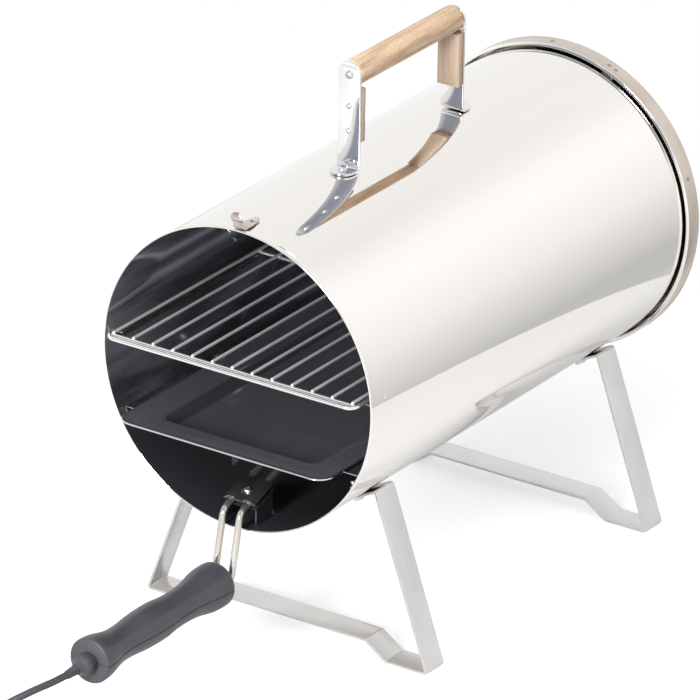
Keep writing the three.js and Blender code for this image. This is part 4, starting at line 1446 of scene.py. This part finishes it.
# ---- handle ----
@dataclass
class Handle:
    """The carrying handle: two bent uprights, a beech grip, beech pads, screws and rivets."""

    thickness: float = 2.5
    bend_radius: float = 3.5
    screw_radius: float = 4.1
    screw_head: float = 2.8
    foot_head: float = 3.0
    stem_radius: float = 1.9
    rivet_radius: float = 2.6
    rivet_head: float = 1.6
    grip_ease: float = 1.5

    def build(self) -> None:
        """Makes the handle's pieces."""
        for place, outward in (("front", -1), ("rear", 1)):
            self.upright(place, outward)
            self.pad(place)
            self.screws(place, outward)
        self.grip()

    def upright(self, place: str, outward: int) -> None:
        """One upright: its top is round and its foot turns away from the grip.

        Args:
            place: front or rear.
            outward: The side that its foot turns to along Y.
        """
        node = f"handle_upright_{place}"
        low, high = cad_box(node)
        wide, half = (high.x - low.x) / 2, self.thickness / 2
        toe, stem = (low.y, high.y - half) if outward < 0 else (high.y, low.y + half)
        corners = [(0, toe, low.z + half), (0, stem, low.z + half), (0, stem, high.z)]
        line = spaced(bent(corners, self.bend_radius), 1.2)
        total = length_of(line)

        def half_width(along: float) -> float:
            """Half the strip's width at a distance along it; both ends are round."""
            near = min(along, total - along)
            return wide if near > wide else math.sqrt(max(wide**2 - (wide - near) ** 2, 0.01))

        strip = Strip(line, X, half_width, self.thickness, 0.35)
        strip.draft().piece(f"upright_{place}", Body.SMOKER, Slot.POLISHED, [UPRIGHT_STRIP], [node])

    def pad(self, place: str) -> None:
        """The thin beech pad on an upright's inner face."""
        node = f"handle_pad_{place}"
        low, high = cad_box(node)
        middle, half = (low + high) / 2, (high - low) / 2
        rings = []
        eased = ((0, 0.9), (0.25, 0.35), (0.9, 0))
        levels = [(low.z + up, less) for up, less in eased]
        levels += [(high.z - up, less) for up, less in reversed(eased)]
        for z, less in levels:
            section = plain_section(half.x - less, half.y - less, 1.1)
            rings.append([Vector((p.x, middle.y + p.y, z)) for p in section])
        Draft().loft(rings).piece(f"pad_{place}", Body.SMOKER, Slot.BEECH, [PAD_WOOD], [node])

    def grip(self) -> None:
        """The beech grip, a bar with eased ends."""
        size = RoundNode.of("handle_grip")
        r, near, far, e = size.radius, size.front, size.rear, self.grip_ease
        start = [(r - e + e * math.sin(a), near + e - e * math.cos(a)) for a in quarter_turn(6)]
        end = [(radius, near + far - y) for radius, y in reversed(start)]
        profile = [(0, near), *start, (r, (near + far) / 2), *end, (0, far)]
        draft = Draft().lathe(profile, 96).placed(along_y(0, 0, size.axis))
        draft.piece("grip_bar", Body.SMOKER, Slot.BEECH, [GRIP_WOOD], ["handle_grip"])

    def screws(self, place: str, outward: int) -> None:
        """The grip's screw, the foot's screw and the pad's two rivets at one upright.

        Args:
            place: front or rear.
            outward: The side that the heads face along Y.
        """
        node = f"handle_grip_screw_{place}"
        low, high = cad_box(node)
        seat = low.y + 3.0 if outward < 0 else high.y - 3.0
        height = (low.z + high.z) / 2
        head = cross_head(self.screw_radius, self.screw_head)
        screw = Draft().take(head, along_y(0, seat, height, outward))
        screw.take(shank(self.stem_radius, 18, 0.5, 24), along_y(0, seat, height, -outward))
        screw.piece(f"grip_screw_{place}", Body.SMOKER, Slot.BRIGHT, [FASTENER], [node])
        node = f"handle_foot_screw_{place}"
        low, high = cad_box(node)
        seat = Vector((0, (low.y + high.y) / 2, high.z - 3.1))
        foot = Draft().take(cross_head((high.x - low.x) / 2, self.foot_head), standing(seat, Z, 30))
        foot.take(shank(self.stem_radius, seat.z - low.z, 0.4, 24), standing(seat, -Z))
        foot.piece(f"foot_screw_{place}", Body.SMOKER, Slot.BRIGHT, [FASTENER], [node])
        for index in (1, 2):
            node = f"handle_pad_rivet_{place}_{index}"
            low, high = cad_box(node)
            seat = low.y + self.rivet_head if outward < 0 else high.y - self.rivet_head
            height = (low.z + high.z) / 2
            head = round_head(self.rivet_radius, self.rivet_head)
            rivet = Draft().take(head, along_y(0, seat, height, outward))
            rivet.take(shank(1.4, 8.4, 0.4, 20), along_y(0, seat, height, -outward))
            rivet.piece(f"pad_rivet_{place}_{index}", Body.SMOKER, Slot.BRIGHT, [FASTENER], [node])


@dataclass
class Latch:
    """The small sprung hook riveted over the mouth."""

    thickness: float = 1.5
    taper_run: float = 16.0
    tail_half_width: float = 2.6
    bend_radius: float = 1.6
    rivet_radius: float = 3.0
    rivet_head: float = 1.7
    rivet_stem: float = 1.5

    def build(self) -> None:
        """Makes the hook and its rivet."""
        low, high = cad_box("latch_hook")
        wide, z = (high.x - low.x) / 2, low.z + self.thickness / 2
        rise = high.z - z
        corners = [(high.y, z), (3, z), (0.4, z + rise * 0.45), (-2.4, z + rise * 0.62), (-0.9, high.z)]
        line = spaced(bent([(0, y, h) for y, h in corners], self.bend_radius, 6), 0.8)
        total, tail = length_of(line), self.tail_half_width

        def half_width(along: float) -> float:
            """Half the strip's width at a distance along it: a taper, then a round end."""
            left = total - along
            if left < wide:
                return math.sqrt(max(wide**2 - (wide - left) ** 2, 0.01))
            if along < self.taper_run:
                ease = math.sqrt(min(along / 1.5, 1.0))
                return (tail + (wide - tail) * along / self.taper_run) * max(ease, 0.4)
            return wide

        hook = Strip(line, X, half_width, self.thickness, 0.3).draft()
        hook.piece("hook", Body.SMOKER, Slot.POLISHED, [LATCH_STRIP], ["latch_hook"])
        low, high = cad_box("latch_rivet")
        seat = Vector((0, (low.y + high.y) / 2, high.z - 1.8))
        rivet = Draft().take(round_head(self.rivet_radius, self.rivet_head), standing(seat, Z))
        rivet.take(shank(self.rivet_stem, seat.z - low.z, 0.0, 20), standing(seat, -Z))
        rivet.piece("hook_rivet", Body.SMOKER, Slot.BRIGHT, [FASTENER], ["latch_rivet"])


# ---- grate and tray ----
@dataclass
class GrillGrate:
    """The lift-out grate: round rods on cross wires inside a wire frame."""

    wire_radius: float = 2.0
    cross_radius: float = 1.92
    rod_radius: float = 1.5
    rods: int = 13
    corner: float = 12.0
    lip_gap: float = 7.0
    side_gap: float = 2.5
    sides: int = 20

    def build(self) -> None:
        """Makes the grate's wire frame and the rods welded on it."""
        low, high = cad_box("grill_grate")
        half, z = high.x - self.wire_radius, low.z + self.wire_radius
        front, rear = low.y + self.wire_radius, high.y - self.wire_radius
        frame_line = rounded_rect(half, front, rear, self.corner - self.wire_radius, z, 10)
        cross_y = (front + self.lip_gap, (low.y + high.y) / 2, rear - self.lip_gap)
        crosses = [([Vector((-half, y, z)), Vector((half, y, z))], False) for y in cross_y]
        wires = [
            WIRES.bake(line_mesh(lines), WIRE_STEEL, Radius=radius * MM, Sides=self.sides)
            for lines, radius in (([(frame_line, True)], self.wire_radius), (crosses, self.cross_radius))
        ]
        reach = half - self.wire_radius - self.side_gap
        height, middle = high.z - self.rod_radius, (cross_y[0] + cross_y[2]) / 2
        steps = [2 * reach * i / (self.rods - 1) for i in range(self.rods)]
        places = point_mesh([Vector((-reach + step, middle, height)) for step in steps])
        radius, length = self.rod_radius * MM, (cross_y[2] - cross_y[0]) * MM
        rods = RODS.bake(places, ROD_STEEL, Radius=radius, Length=length, Sides=self.sides)
        whole = joined("grate_wires", wires)
        adopt(whole, "grate_wires", Body.GRATE, [WIRE_STEEL], ["grill_grate"])
        adopt(rods, "grate_rods", Body.GRATE, [ROD_STEEL])


def joined(name: str, meshes: Sequence[bpy.types.Mesh]) -> bpy.types.Mesh:
    """Puts several meshes into one.

    Args:
        name: The new mesh's name.
        meshes: The meshes, which are used up.

    Returns:
        The mesh that holds them all.
    """
    made = bmesh.new()
    for mesh in meshes:
        made.from_mesh(mesh)
    whole = bpy.data.meshes.new(name)
    made.to_mesh(whole)
    made.free()
    for mesh in meshes:
        bpy.data.meshes.remove(mesh)
    return whole


@dataclass
class DripTray:
    """The pressed tray: a rolled rim, a broad flange and a shallow pan."""

    rim_radius: float = 0.9
    rim_drop: float = 1.6
    corner: float = 16.0
    flange: float = 30.0
    wall: float = 1.0
    pan_corner: float = 12.0
    bright_bands: int = 9

    def build(self) -> None:
        """Makes the tray: the rolled rim is bright, the rest is painted dark as painted shade."""
        low, high = cad_box("drip_tray")
        z, r, f = high.z - self.rim_drop, self.rim_radius, self.flange
        floor = low.z + self.wall
        top = [(2 * r, z), (2 * r + 0.5, z - 0.3), (8, z - 0.4), (f - 3, z - 0.4)]
        top += [(f - 1.6, z - 0.7), (f - 0.5, z - 1.7), (f, z - 3.2)]
        top += [(f + 1.5, floor + 4), (f + 2.3, floor + 1.6), (f + 4, floor + 0.4), (f + 6.5, floor)]
        under = [(inset - (self.wall if inset > f - 4 else 0), y - self.wall) for inset, y in reversed(top)]
        turns = [math.radians(a) for a in range(-70, 150, 18)]
        section = [*[(r - r * math.cos(a), z + r * math.sin(a)) for a in turns], *top]
        rings = [self.ring(low, high, inset, height) for inset, height in section]
        back = [self.ring(low, high, inset, height) for inset, height in under]
        bands = [1] * self.bright_bands + [0] * (len(section) - self.bright_bands - 1)
        draft = Draft().loft(rings, bands, capped=False)
        draft.take(Draft().loft([*back, rings[0]], 0, capped=False))
        count = len(rings[0])
        for start in ((len(rings) - 1) * count, len(rings) * count):
            draft.face(range(start, start + count))
        draft.piece("tray_pan", Body.TRAY, Slot.TRAY, [TRAY_SHEET, TRAY_RIM], ["drip_tray"])

    def ring(self, low: Vector, high: Vector, inset: float, z: float) -> Ring:
        """The tray's outline at a distance in from its edge.

        Args:
            low: The tray's lowest corner.
            high: Its highest corner.
            inset: Distance in from the edge.
            z: Height of the ring.

        Returns:
            The ring.
        """
        corner = max(self.corner - inset * 0.5, self.pan_corner - max(inset - self.flange, 0) * 0.6)
        return rounded_rect(high.x - inset, low.y + inset, high.y - inset, corner, z, 10)


# ---- heater ----
@dataclass
class Heater:
    """The plug-in element with its clamp, foot, ceramic block, grip and gland."""

    tube_radius: float = 3.3
    bend_radius: float = 12.0
    slope: float = 19.0
    slope_height: float = 157.34
    tube_offset: float = 9.0
    grip_in: float = 20.0
    axis: float = 93.0
    clamp_y: float = 23.0
    clamp_half_length: float = 15.0
    clamp_sheet: float = 1.2

    def build(self) -> None:
        """Makes the heater's pieces."""
        self.element()
        self.clamp()
        dress_node("heater_clamp_seat", INNER_SHEET)
        dress_node("heater_clamp_nut", FASTENER)
        dress_node("element_foot_rear", SEAT_STEEL)
        dress_node("terminal_block", FIRED_CERAMIC)

    def element(self) -> None:
        """The bent heating tube: two legs side by side, then a wide loop under the tray."""
        low, high = cad_box("heating_element")
        loop_half, s, top = high.x - self.tube_radius, self.tube_offset, high.z - self.tube_radius
        inner = cad_box("heater_grip_top")[1].y
        rear = high.y - self.tube_radius
        side = [
            (s, inner - self.grip_in, self.axis),
            (s, inner + 10, self.axis),
            (s, -4, self.slope_height - 4 * math.tan(math.radians(self.slope))),
            (s, 60, top),
            (loop_half, 112, top),
            (loop_half, rear, top),
        ]
        corners = [(-x, y, z) for x, y, z in side] + list(reversed(side))
        line = bent(corners, self.bend_radius, 12)
        path = line_mesh([(line, False)])
        mesh = WIRES.bake(path, TUBE_STEEL, Radius=self.tube_radius * MM, Sides=28)
        adopt(mesh, "element_tube", Body.HEATER, [TUBE_STEEL], ["heating_element"])

    def clamp(self) -> None:
        """The clamp plate that is bent over both legs, and its screw."""
        tilt = Matrix.Rotation(math.radians(self.slope), 4, "X")
        place = Matrix.Translation((0, 0, self.slope_height)) @ tilt
        half = [(4.2, 1.3), (6.4, 4.2), (11.6, 4.2), (14.1, 1.3), (17, 1.3)]
        flat = [(-x, z) for x, z in reversed(half)] + half
        line = bent([(x, self.clamp_y, z) for x, z in flat], 1.0, 5)
        plate = Strip(line, Y, self.clamp_half_length, self.clamp_sheet, 0.25).draft().placed(place)
        plate.piece("clamp_strip", Body.HEATER, Slot.HEATED, [CLAMP_STEEL], ["heater_clamp_plate"])
        screw = Draft().take(cross_head(4.0, 3.1), Matrix.Translation((0, self.clamp_y, 2.2)))
        stem = Draft().lathe([(0, 2.4), (1.9, 2.4), (1.9, -9), (0, -9)], 20)
        screw.take(stem, Matrix.Translation((0, self.clamp_y, 0))).placed(place)
        screw.piece("clamp_bolt", Body.HEATER, Slot.BRIGHT, [FASTENER], ["heater_clamp_screw"])


@dataclass
class HeaterGrip:
    """The moulded grip in two halves, with its screws and the ribbed cord gland."""

    wall: float = 3.0
    edge: float = 0.7
    arc_steps: int = 40
    flutes: int = 22
    flute_depth: float = 0.9
    contour: tuple[tuple[float, float], ...] = (
        (0, 20.3), (0.005, 20.95), (0.015, 21.3), (0.04, 21.48), (0.085, 21.2), (0.13, 20.0), (0.19, 17.8),
        (0.25, 16.5), (0.31, 16.0), (0.37, 16.2), (0.44, 17.3), (0.51, 18.2), (0.58, 18.1), (0.66, 17.2),
        (0.73, 16.1), (0.78, 15.9), (0.84, 16.8), (0.89, 18.9), (0.93, 20.5), (0.962, 21.3), (0.985, 21.4),
        (0.996, 21.0), (1, 20.2),
    )
    gland: tuple[tuple[float, float, float], ...] = (
        (0, 4.2, 0), (0.2, 5.2, 0), (2.5, 5.9, 0), (5, 6.6, 0), (6.2, 8.0, 0.4), (7.6, 9.3, 0.8),
        (9.4, 10.1, 1), (11.5, 10.45, 1), (14, 10.45, 1), (16.4, 10.1, 1), (18.2, 9.4, 0.6), (19.7, 8.8, 0),
        (19.8, 6.0, 0), (28, 6.0, 0), (28, 0.4, 0),
    )

    def build(self) -> None:
        """Makes the grip's two halves, its screws and the gland."""
        upper, lower = self.half(1), self.half(-1)
        upper.piece("grip_upper", Body.HEATER, Slot.PLASTIC, [GRIP_PLASTIC], ["heater_grip_top"])
        tools = []
        for index in (1, 2):
            node = f"heater_grip_screw_{index}"
            low, high = cad_box(node)
            place = Matrix.Translation((0, (low.y + high.y) / 2, 0))
            boss = Draft().lathe([(0, 78), (5.4, 78), (5.4, 92.4), (0, 92.4)], 32)
            bore = Draft().lathe([(0, 60), (3.0, 60), (3.0, 83), (0, 83)], 32)
            tools += [("UNION", boss.placed(place)), ("DIFFERENCE", bore.placed(place))]
            dress_node(node, FASTENER)
        lower = carved(lower, tools)
        lower.piece("grip_lower", Body.HEATER, Slot.PLASTIC, [GRIP_PLASTIC], ["heater_grip_bottom"])
        self.cord_exit()

    def half(self, up: int) -> Draft:
        """One half shell of the grip.

        Args:
            up: 1 for the upper half, -1 for the lower one.

        Returns:
            The half shell, with its split edge eased.
        """
        low, high = cad_box("heater_grip_top" if up > 0 else "heater_grip_bottom")
        split = low.z if up > 0 else high.z
        curve = smooth_curve([Vector((t, r)) for t, r in self.contour], 3)
        rings = []
        for p in curve:
            y = high.y + (low.y - high.y) * p.x
            inside = min(high.y - y, y - low.y)
            inner = 0.8 if inside < self.wall else p.y - self.wall
            rings.append(self.section(p.y, inner, y, split, up))
        return Draft().loft(rings)

    def section(self, radius: float, inner: float, y: float, split: float, up: int) -> Ring:
        """The C-shaped section of a half shell.

        Args:
            radius: Its outer radius.
            inner: Its inner radius.
            y: Its place along the grip.
            split: Height of the split face.
            up: 1 for the upper half, -1 for the lower one.

        Returns:
            The ring of points.
        """
        e = self.edge
        ease = math.asin(e / radius)
        outer = [(radius * math.cos(a), radius * math.sin(a)) for a in self.turns(ease)]
        hollow = [(inner * math.cos(a), inner * math.sin(a)) for a in reversed(self.turns(0.0))]
        start = [(radius - e, 0), (radius - e * 0.3, e * 0.35)]
        end = [(-radius + e * 0.3, e * 0.35), (-radius + e, 0)]
        points = [*start, *outer, *end, *hollow]
        return [Vector((x, y, split + up * z)) for x, z in points]

    def turns(self, ease: float) -> list[float]:
        """The angles of a half circle that begins and ends an ease in from the split."""
        return [ease + (math.pi - 2 * ease) * i / self.arc_steps for i in range(self.arc_steps + 1)]

    def cord_exit(self) -> None:
        """The ribbed gland nut and the tapered strain relief that the cord leaves through."""
        size = RoundNode.of("cord_gland")
        nut = fluted(self.gland, self.flutes, self.flute_depth, Vector((0, size.front, size.axis)))
        nut.piece("gland_nut", Body.HEATER, Slot.PLASTIC, [GRIP_PLASTIC], ["cord_gland"])
        profile = [(3.3, -14.2), (3.75, -14.0)]
        for i in range(7):
            y, r = -13.4 + i * 2.6, 3.9 + 0.17 * i
            profile += [(r, y), (r + 0.05, y + 1.5), (r - 0.35, y + 1.75), (r - 0.35, y + 2.35)]
        profile += [(5.1, 5.2), (5.1, 9), (3.3, 9)]
        sleeve = Draft().lathe(profile, 40, looped=True).placed(along_y(0, size.front, size.axis))
        sleeve.piece("strain_relief", Body.HEATER, Slot.RUBBER, [CORD_RUBBER])


# ---- supply cord ----
def tube_rings(path: Sequence[Vector], radius: float, sides: int) -> list[Ring]:
    """Round sections along a path, without twist.

    Args:
        path: The tube's middle line.
        radius: Its radius.
        sides: Facets round it.

    Returns:
        The rings.
    """
    rings = []
    side = X.copy()
    for i, place in enumerate(path):
        way = (path[min(i + 1, len(path) - 1)] - path[max(i - 1, 0)]).normalized()
        side = (side - way * side.dot(way)).normalized()
        other = way.cross(side)
        rings.append([place + side * p.x + other * p.y for p in circle(radius, sides)])
    return rings


@dataclass
class SupplyCord:
    """The rubber supply cord: down from the gland to the floor, then a tied coil with its plug."""

    radius: float = 3.25
    coil_centre: tuple[float, float] = (-180.0, -358.5)
    coil_radius: float = 38.0
    bundle_radius: float = 6.6
    coil_height: float = 10.05
    start_angle: float = -61.2
    turns: float = 5.33
    bundle_turn: float = 60.0
    steps_per_turn: int = 60
    exit_y: float = -243.3
    exit_z: float = 93.0
    plug_flutes: int = 20
    plug_flute_depth: float = 0.6
    tie_half_width: float = 4.5
    route: tuple[tuple[float, float, float], ...] = (
        (0, -243.3, 93), (0, -255, 93), (-3, -273, 92), (-12, -293, 88), (-27, -311, 78), (-45, -326, 61),
        (-62, -339, 39), (-79, -350, 18), (-97, -360, 5.95), (-114, -369, 3.45), (-133, -376.4, 3.45),
    )

    def build(self) -> None:
        path = self.path()
        draft = Draft().loft(tube_rings(path, self.radius, 20))
        nodes = ["power_cord", "cord_coil"]
        cord = draft.piece("supply_cord", Body.HEATER, Slot.RUBBER, [CORD_RUBBER], nodes)
        tie = self.tie()
        plug = self.plug()
        pins = [self.pin(side) for side in ("left", "right")]

    def path(self) -> list[Vector]:
        """The cord's middle line from inside the gland to inside the plug.

        Returns:
            The points, in millimetres from the mouth.
        """
        start = [Vector((0, self.exit_y + d, self.exit_z)) for d in (9, 6, 3)]
        lead = smooth_curve([Vector(p) for p in self.route], 6)
        steps = round(self.turns * self.steps_per_turn)
        coil = [self.coil_point(i / self.steps_per_turn) for i in range(steps + 1)]
        gap = (coil[0] - lead[-1]).length
        bridge = [lead[-1].lerp(coil[0], i / 6) for i in range(1, 6)] if gap > 6 else []
        end = coil[-1]
        rise = self.rise(end, Vector((-218, cad_box("plug_body")[0].y + 2, 18.7)))
        return [*start, *lead, *bridge, *coil, *rise]

    def coil_point(self, turn: float) -> Vector:
        """A place on the coil after a number of turns."""
        angle = math.radians(self.start_angle - 360 * turn)
        bundle = math.radians(-90 - self.bundle_turn * turn)
        reach = self.coil_radius + self.bundle_radius * math.cos(bundle)
        height = self.coil_height + self.bundle_radius * math.sin(bundle)
        return Vector((
            self.coil_centre[0] + reach * math.cos(angle),
            self.coil_centre[1] + reach * math.sin(angle),
            height,
        ))

    def rise(self, start: Vector, end: Vector) -> list[Vector]:
        """Two equal arcs that lead from one run along Y to another beside and above it.

        Args:
            start: Where the lower run ends.
            end: Where the higher run begins.

        Returns:
            The points after the start.
        """
        across = Vector((end.x - start.x, 0, end.z - start.z))
        run, shift = (end.y - start.y) / 2, across.length / 2
        turn = 2 * math.atan2(shift, run)
        radius = run / math.sin(turn)
        way = across.normalized()
        points = []
        for i in range(1, 9):
            a = turn * i / 8
            points.append(start + Y * radius * math.sin(a) + way * radius * (1 - math.cos(a)))
        second = [start + end - p for p in reversed(points[:-1])]
        return [*points, *second, end]

    def tie(self) -> bpy.types.Object:
        """The black strap round the coil's bundle."""
        angle = math.radians(100)
        outward = Vector((math.cos(angle), math.sin(angle), 0))
        along = Vector((-math.sin(angle), math.cos(angle), 0))
        centre = Vector((*self.coil_centre, self.coil_height)) + outward * self.coil_radius
        rings = []
        reach = self.bundle_radius + self.radius + 0.35
        for i in range(48):
            turn = math.tau * i / 48
            way = outward * math.cos(turn) + Z * math.sin(turn)
            place = centre + way * reach
            place.z = max(place.z, 0.32)
            section = plain_section(self.tie_half_width, 0.3, 0.15)
            rings.append([place + along * p.x + way * p.y for p in section])
        draft = Draft().loft(rings, looped=True)
        tab = [centre + outward * (reach - 0.5 + 2 * i) + Z * (0.5 - 0.4 * i) for i in range(7)]
        draft.take(Strip(tab, along, self.tie_half_width, 0.7, 0.2).draft())
        return draft.piece("cord_tie", Body.HEATER, Slot.RUBBER, [CORD_RUBBER])

    def plug(self) -> bpy.types.Object:
        """The moulded plug: a ringed tail, a fluted body and a flat face."""
        size = RoundNode.of("plug_body")
        big = size.radius
        shape = [(0, 3.3, 0), (0.3, 4.2, 0)]
        for i in range(6):
            y, r = 1 + i * 3.4, 4.5 + 0.32 * i
            shape += [(y, r, 0), (y + 2.2, r + 0.1, 0), (y + 2.4, r - 0.4, 0), (y + 3.1, r - 0.4, 0)]
        shape += [(22, 6.6, 0), (24.5, 7.2, 0), (28, 10, 0), (31, 13.2, 0.2), (34, 15.5, 0.6), (38, 16.7, 1)]
        shape += [(44, 17.5, 1), (50, 18.2, 0.7), (53, big, 0), (60.8, big, 0), (61.7, big - 0.4, 0)]
        shape += [(62, big - 1.2, 0)]
        place = Vector((size.x, size.front, size.axis))
        plug = fluted(shape, self.plug_flutes, self.plug_flute_depth, place)
        return plug.piece("plug_shell", Body.HEATER, Slot.PLASTIC, [PLUG_PLASTIC], ["plug_body"])

    def pin(self, side: str) -> bpy.types.Object:
        """One round plug pin with a rounded tip."""
        node = f"plug_pin_{side}"
        size = RoundNode.of(node)
        r, long = size.radius, size.rear - size.front
        profile = [(0, 0), (r, 0), (r, long - 1.6), (r - 0.25, long - 0.8), (r - 0.9, long - 0.2), (0, long)]
        pin = Draft().lathe(profile, 32).placed(along_y(size.x, size.front, size.axis))
        return pin.piece(f"pin_{side}", Body.HEATER, Slot.BRIGHT, [FASTENER], [node])


# ---- studio ----
@dataclass(frozen=True)
class Softbox:
    """A broad soft lamp that faces the smoker, with its place and its diameter in metres."""

    name: str
    place: tuple[float, float, float]
    size: float
    watts: float
    mirrored: bool

    def build(self) -> None:
        """Makes the lamp; the steel shows it only where it is said to be mirrored."""
        data = bpy.data.lights.new(self.name, "AREA")
        data.shape = "DISK"
        data.size = self.size
        data.energy = self.watts
        lamp = bpy.data.objects.new(self.name, data)
        lamp.location = self.place
        lamp.rotation_euler = (Vector(self.place) - SMOKER_MIDDLE).to_track_quat("Z", "Y").to_euler()
        lamp.visible_glossy = self.mirrored
        bpy.context.scene.collection.objects.link(lamp)


@dataclass
class Studio:
    """The plain floor, the soft surroundings that the steel mirrors, two lamps and the camera."""

    camera_place: tuple[float, float, float] = (4032.2, -5848.1, 3515.6)
    yaw: float = 33.77
    pitch: float = 24.26
    roll: float = 0.96
    lens: float = 450.14
    floor_edge: tuple[tuple[float, float], ...] = ((591.0, 671.0), (327.0, 777.0))
    floor_reach: float = 3000.0
    side_tone: float = 0.855
    right_tones: tuple[tuple[float, float], ...] = (
        (-0.42, 0.51), (-0.28, 0.63), (-0.13, 0.73), (0.03, 0.84), (0.19, 0.905), (0.33, 0.95), (0.45, 0.985),
        (0.56, 0.95), (0.62, 0.88), (0.64, 0.81),
    )
    right_edge: tuple[float, float] = (-0.2, 0.3)
    front_tone: tuple[float, float, float, float] = (0.28, 0.31, 0.37, 1.0)
    front_edge: tuple[float, float] = (-0.45, -0.7)
    front_sill: tuple[float, float] = (0.17, 0.22)
    mirrored_strength: float = 1.163
    diffuse_strength: float = 0.65
    floor_albedo: float = 0.62
    floor_glow_seen: float = 0.5
    floor_glow_mirrored: float = 0.15
    lamps: tuple[Softbox, ...] = (
        Softbox("overhead_softbox", (0.8, -1.2, 3.0), 3.0, 50.0, False),
        Softbox("front_softbox", (0.3, -4.5, 1.85), 1.4, 310.0, True),
    )

    def build(self) -> None:
        """Makes the camera, the surroundings, the floor and the lamps."""
        self.camera()
        self.surroundings()
        self.floor()
        for lamp in self.lamps:
            lamp.build()
        bpy.context.scene.view_settings.view_transform = "Standard"

    def camera(self) -> None:
        """The camera, with a long lens, from the right and above the mouth."""
        a, e, t = (math.radians(v) for v in (self.yaw, self.pitch, self.roll))
        forward = Vector((-math.sin(a) * math.cos(e), math.cos(a) * math.cos(e), -math.sin(e)))
        level = Vector((math.cos(a), math.sin(a), 0))
        up = level.cross(forward)
        right = level * math.cos(t) + up * math.sin(t)
        top = up * math.cos(t) - level * math.sin(t)
        data = bpy.data.cameras.new("camera")
        data.lens = self.lens
        data.sensor_width = 36
        data.clip_end = 100
        camera = bpy.data.objects.new("camera", data)
        axes = Matrix((right, top, -forward)).transposed().to_4x4()
        camera.matrix_world = Matrix.Translation(to_frame(self.camera_place)) @ axes
        bpy.context.scene.collection.objects.link(camera)
        bpy.context.scene.camera = camera

    def surroundings(self) -> None:
        """A world that is white to the camera and a soft grey room to the steel."""
        world = bpy.data.worlds.new("studio")
        bpy.context.scene.world = world
        world.use_nodes = True
        tree = world.node_tree
        tree.nodes.clear()
        way = add_node(tree, "ShaderNodeTexCoord").outputs["Generated"]
        x, y, z = add_node(tree, "ShaderNodeSeparateXYZ", {0: way}).outputs
        height = add_node(tree, "ShaderNodeMapRange", {"Value": z, 1: -1.0, 2: 1.0}).outputs[0]
        right = add_node(tree, "ShaderNodeValToRGB", {0: height})
        fill_ramp(right, [((level + 1) / 2, grey(tone)) for level, tone in self.right_tones])
        (left_end, right_end), (near, far), (low, high) = self.right_edge, self.front_edge, self.front_sill
        side = add_node(tree, "ShaderNodeMapRange", {"Value": x, 1: left_end, 2: right_end}).outputs[0]
        inputs = {0: side, 6: grey(self.side_tone), 7: right.outputs[0]}
        room = add_node(tree, "ShaderNodeMix", inputs, data_type="RGBA")
        front = add_node(tree, "ShaderNodeMapRange", {"Value": y, 1: near, 2: far}).outputs[0]
        above = add_node(tree, "ShaderNodeMapRange", {"Value": z, 1: low, 2: high, 4: front}).outputs[0]
        inputs = {0: above, 6: room.outputs[2], 7: self.front_tone}
        dark_front = add_node(tree, "ShaderNodeMix", inputs, data_type="RGBA")
        strengths = (self.diffuse_strength, self.mirrored_strength, 1.0)
        colours = (grey(1.0), dark_front.outputs[2], grey(1.0))
        diffuse, mirrored, white = (
            add_node(tree, "ShaderNodeBackground", {0: colour, 1: strength}).outputs[0]
            for colour, strength in zip(colours, strengths)
        )
        path = add_node(tree, "ShaderNodeLightPath").outputs
        lit = add_node(tree, "ShaderNodeMixShader", {0: path["Is Glossy Ray"], 1: diffuse, 2: mirrored})
        seen = {0: path["Is Camera Ray"], 1: lit.outputs[0], 2: white}
        background = add_node(tree, "ShaderNodeMixShader", seen)
        add_node(tree, "ShaderNodeOutputWorld", {0: background.outputs[0]})

    def floor(self) -> None:
        """The white paper floor; its far edge ends out of view and is mirrored in the barrel."""
        first, second = (Vector((*p, 0)) for p in self.floor_edge)
        along = (first - second).normalized()
        near = Vector((along.y, -along.x, 0)) * self.floor_reach
        if near.y > 0:
            near = -near
        ends = [second - along * self.floor_reach, first + along * self.floor_reach]
        draft = Draft([*ends, ends[1] + near * 1.2, ends[0] + near * 1.2])
        draft.face(range(4))
        mesh = draft.mesh("floor")
        material = bpy.data.materials.new("white_paper_floor")
        material.use_nodes = True
        tree = material.node_tree
        shader = tree.nodes["Principled BSDF"]
        shader.inputs["Base Color"].default_value = grey(self.floor_albedo)
        shader.inputs["Roughness"].default_value = 0.9
        shader.inputs["Specular IOR Level"].default_value = 0.0
        path = add_node(tree, "ShaderNodeLightPath").outputs
        inputs = {0: path["Is Camera Ray"], 1: self.floor_glow_seen}
        seen = add_node(tree, "ShaderNodeMath", inputs, operation="MULTIPLY")
        inputs = {0: path["Is Glossy Ray"], 1: self.floor_glow_mirrored, 2: seen.outputs[0]}
        glow = add_node(tree, "ShaderNodeMath", inputs, operation="MULTIPLY_ADD")
        shader.inputs["Emission Color"].default_value = grey(1.0)
        tree.links.new(glow.outputs[0], shader.inputs["Emission Strength"])
        mesh.materials.append(material)
        floor = bpy.data.objects.new("floor", mesh)
        bpy.context.scene.collection.objects.link(floor)


WIRES = wire_tree()
RODS = rod_tree()
STUDS = stud_tree()


def main() -> None:
    """Builds the studio, then the smoker's sub-assemblies in order."""
    logging.basicConfig(level=logging.INFO, format="%(name)s: %(message)s")
    Studio().build()
    SupplyCord().build()
    barrel = Barrel()
    barrel.build()
    Lid().build()
    for place in ("front", "rear"):
        LegFrame(place).build(barrel)
    Handle().build()
    Latch().build()
    GrillGrate().build()
    DripTray().build()
    Heater().build()
    HeaterGrip().build()


if __name__ == "__main__":
    main()
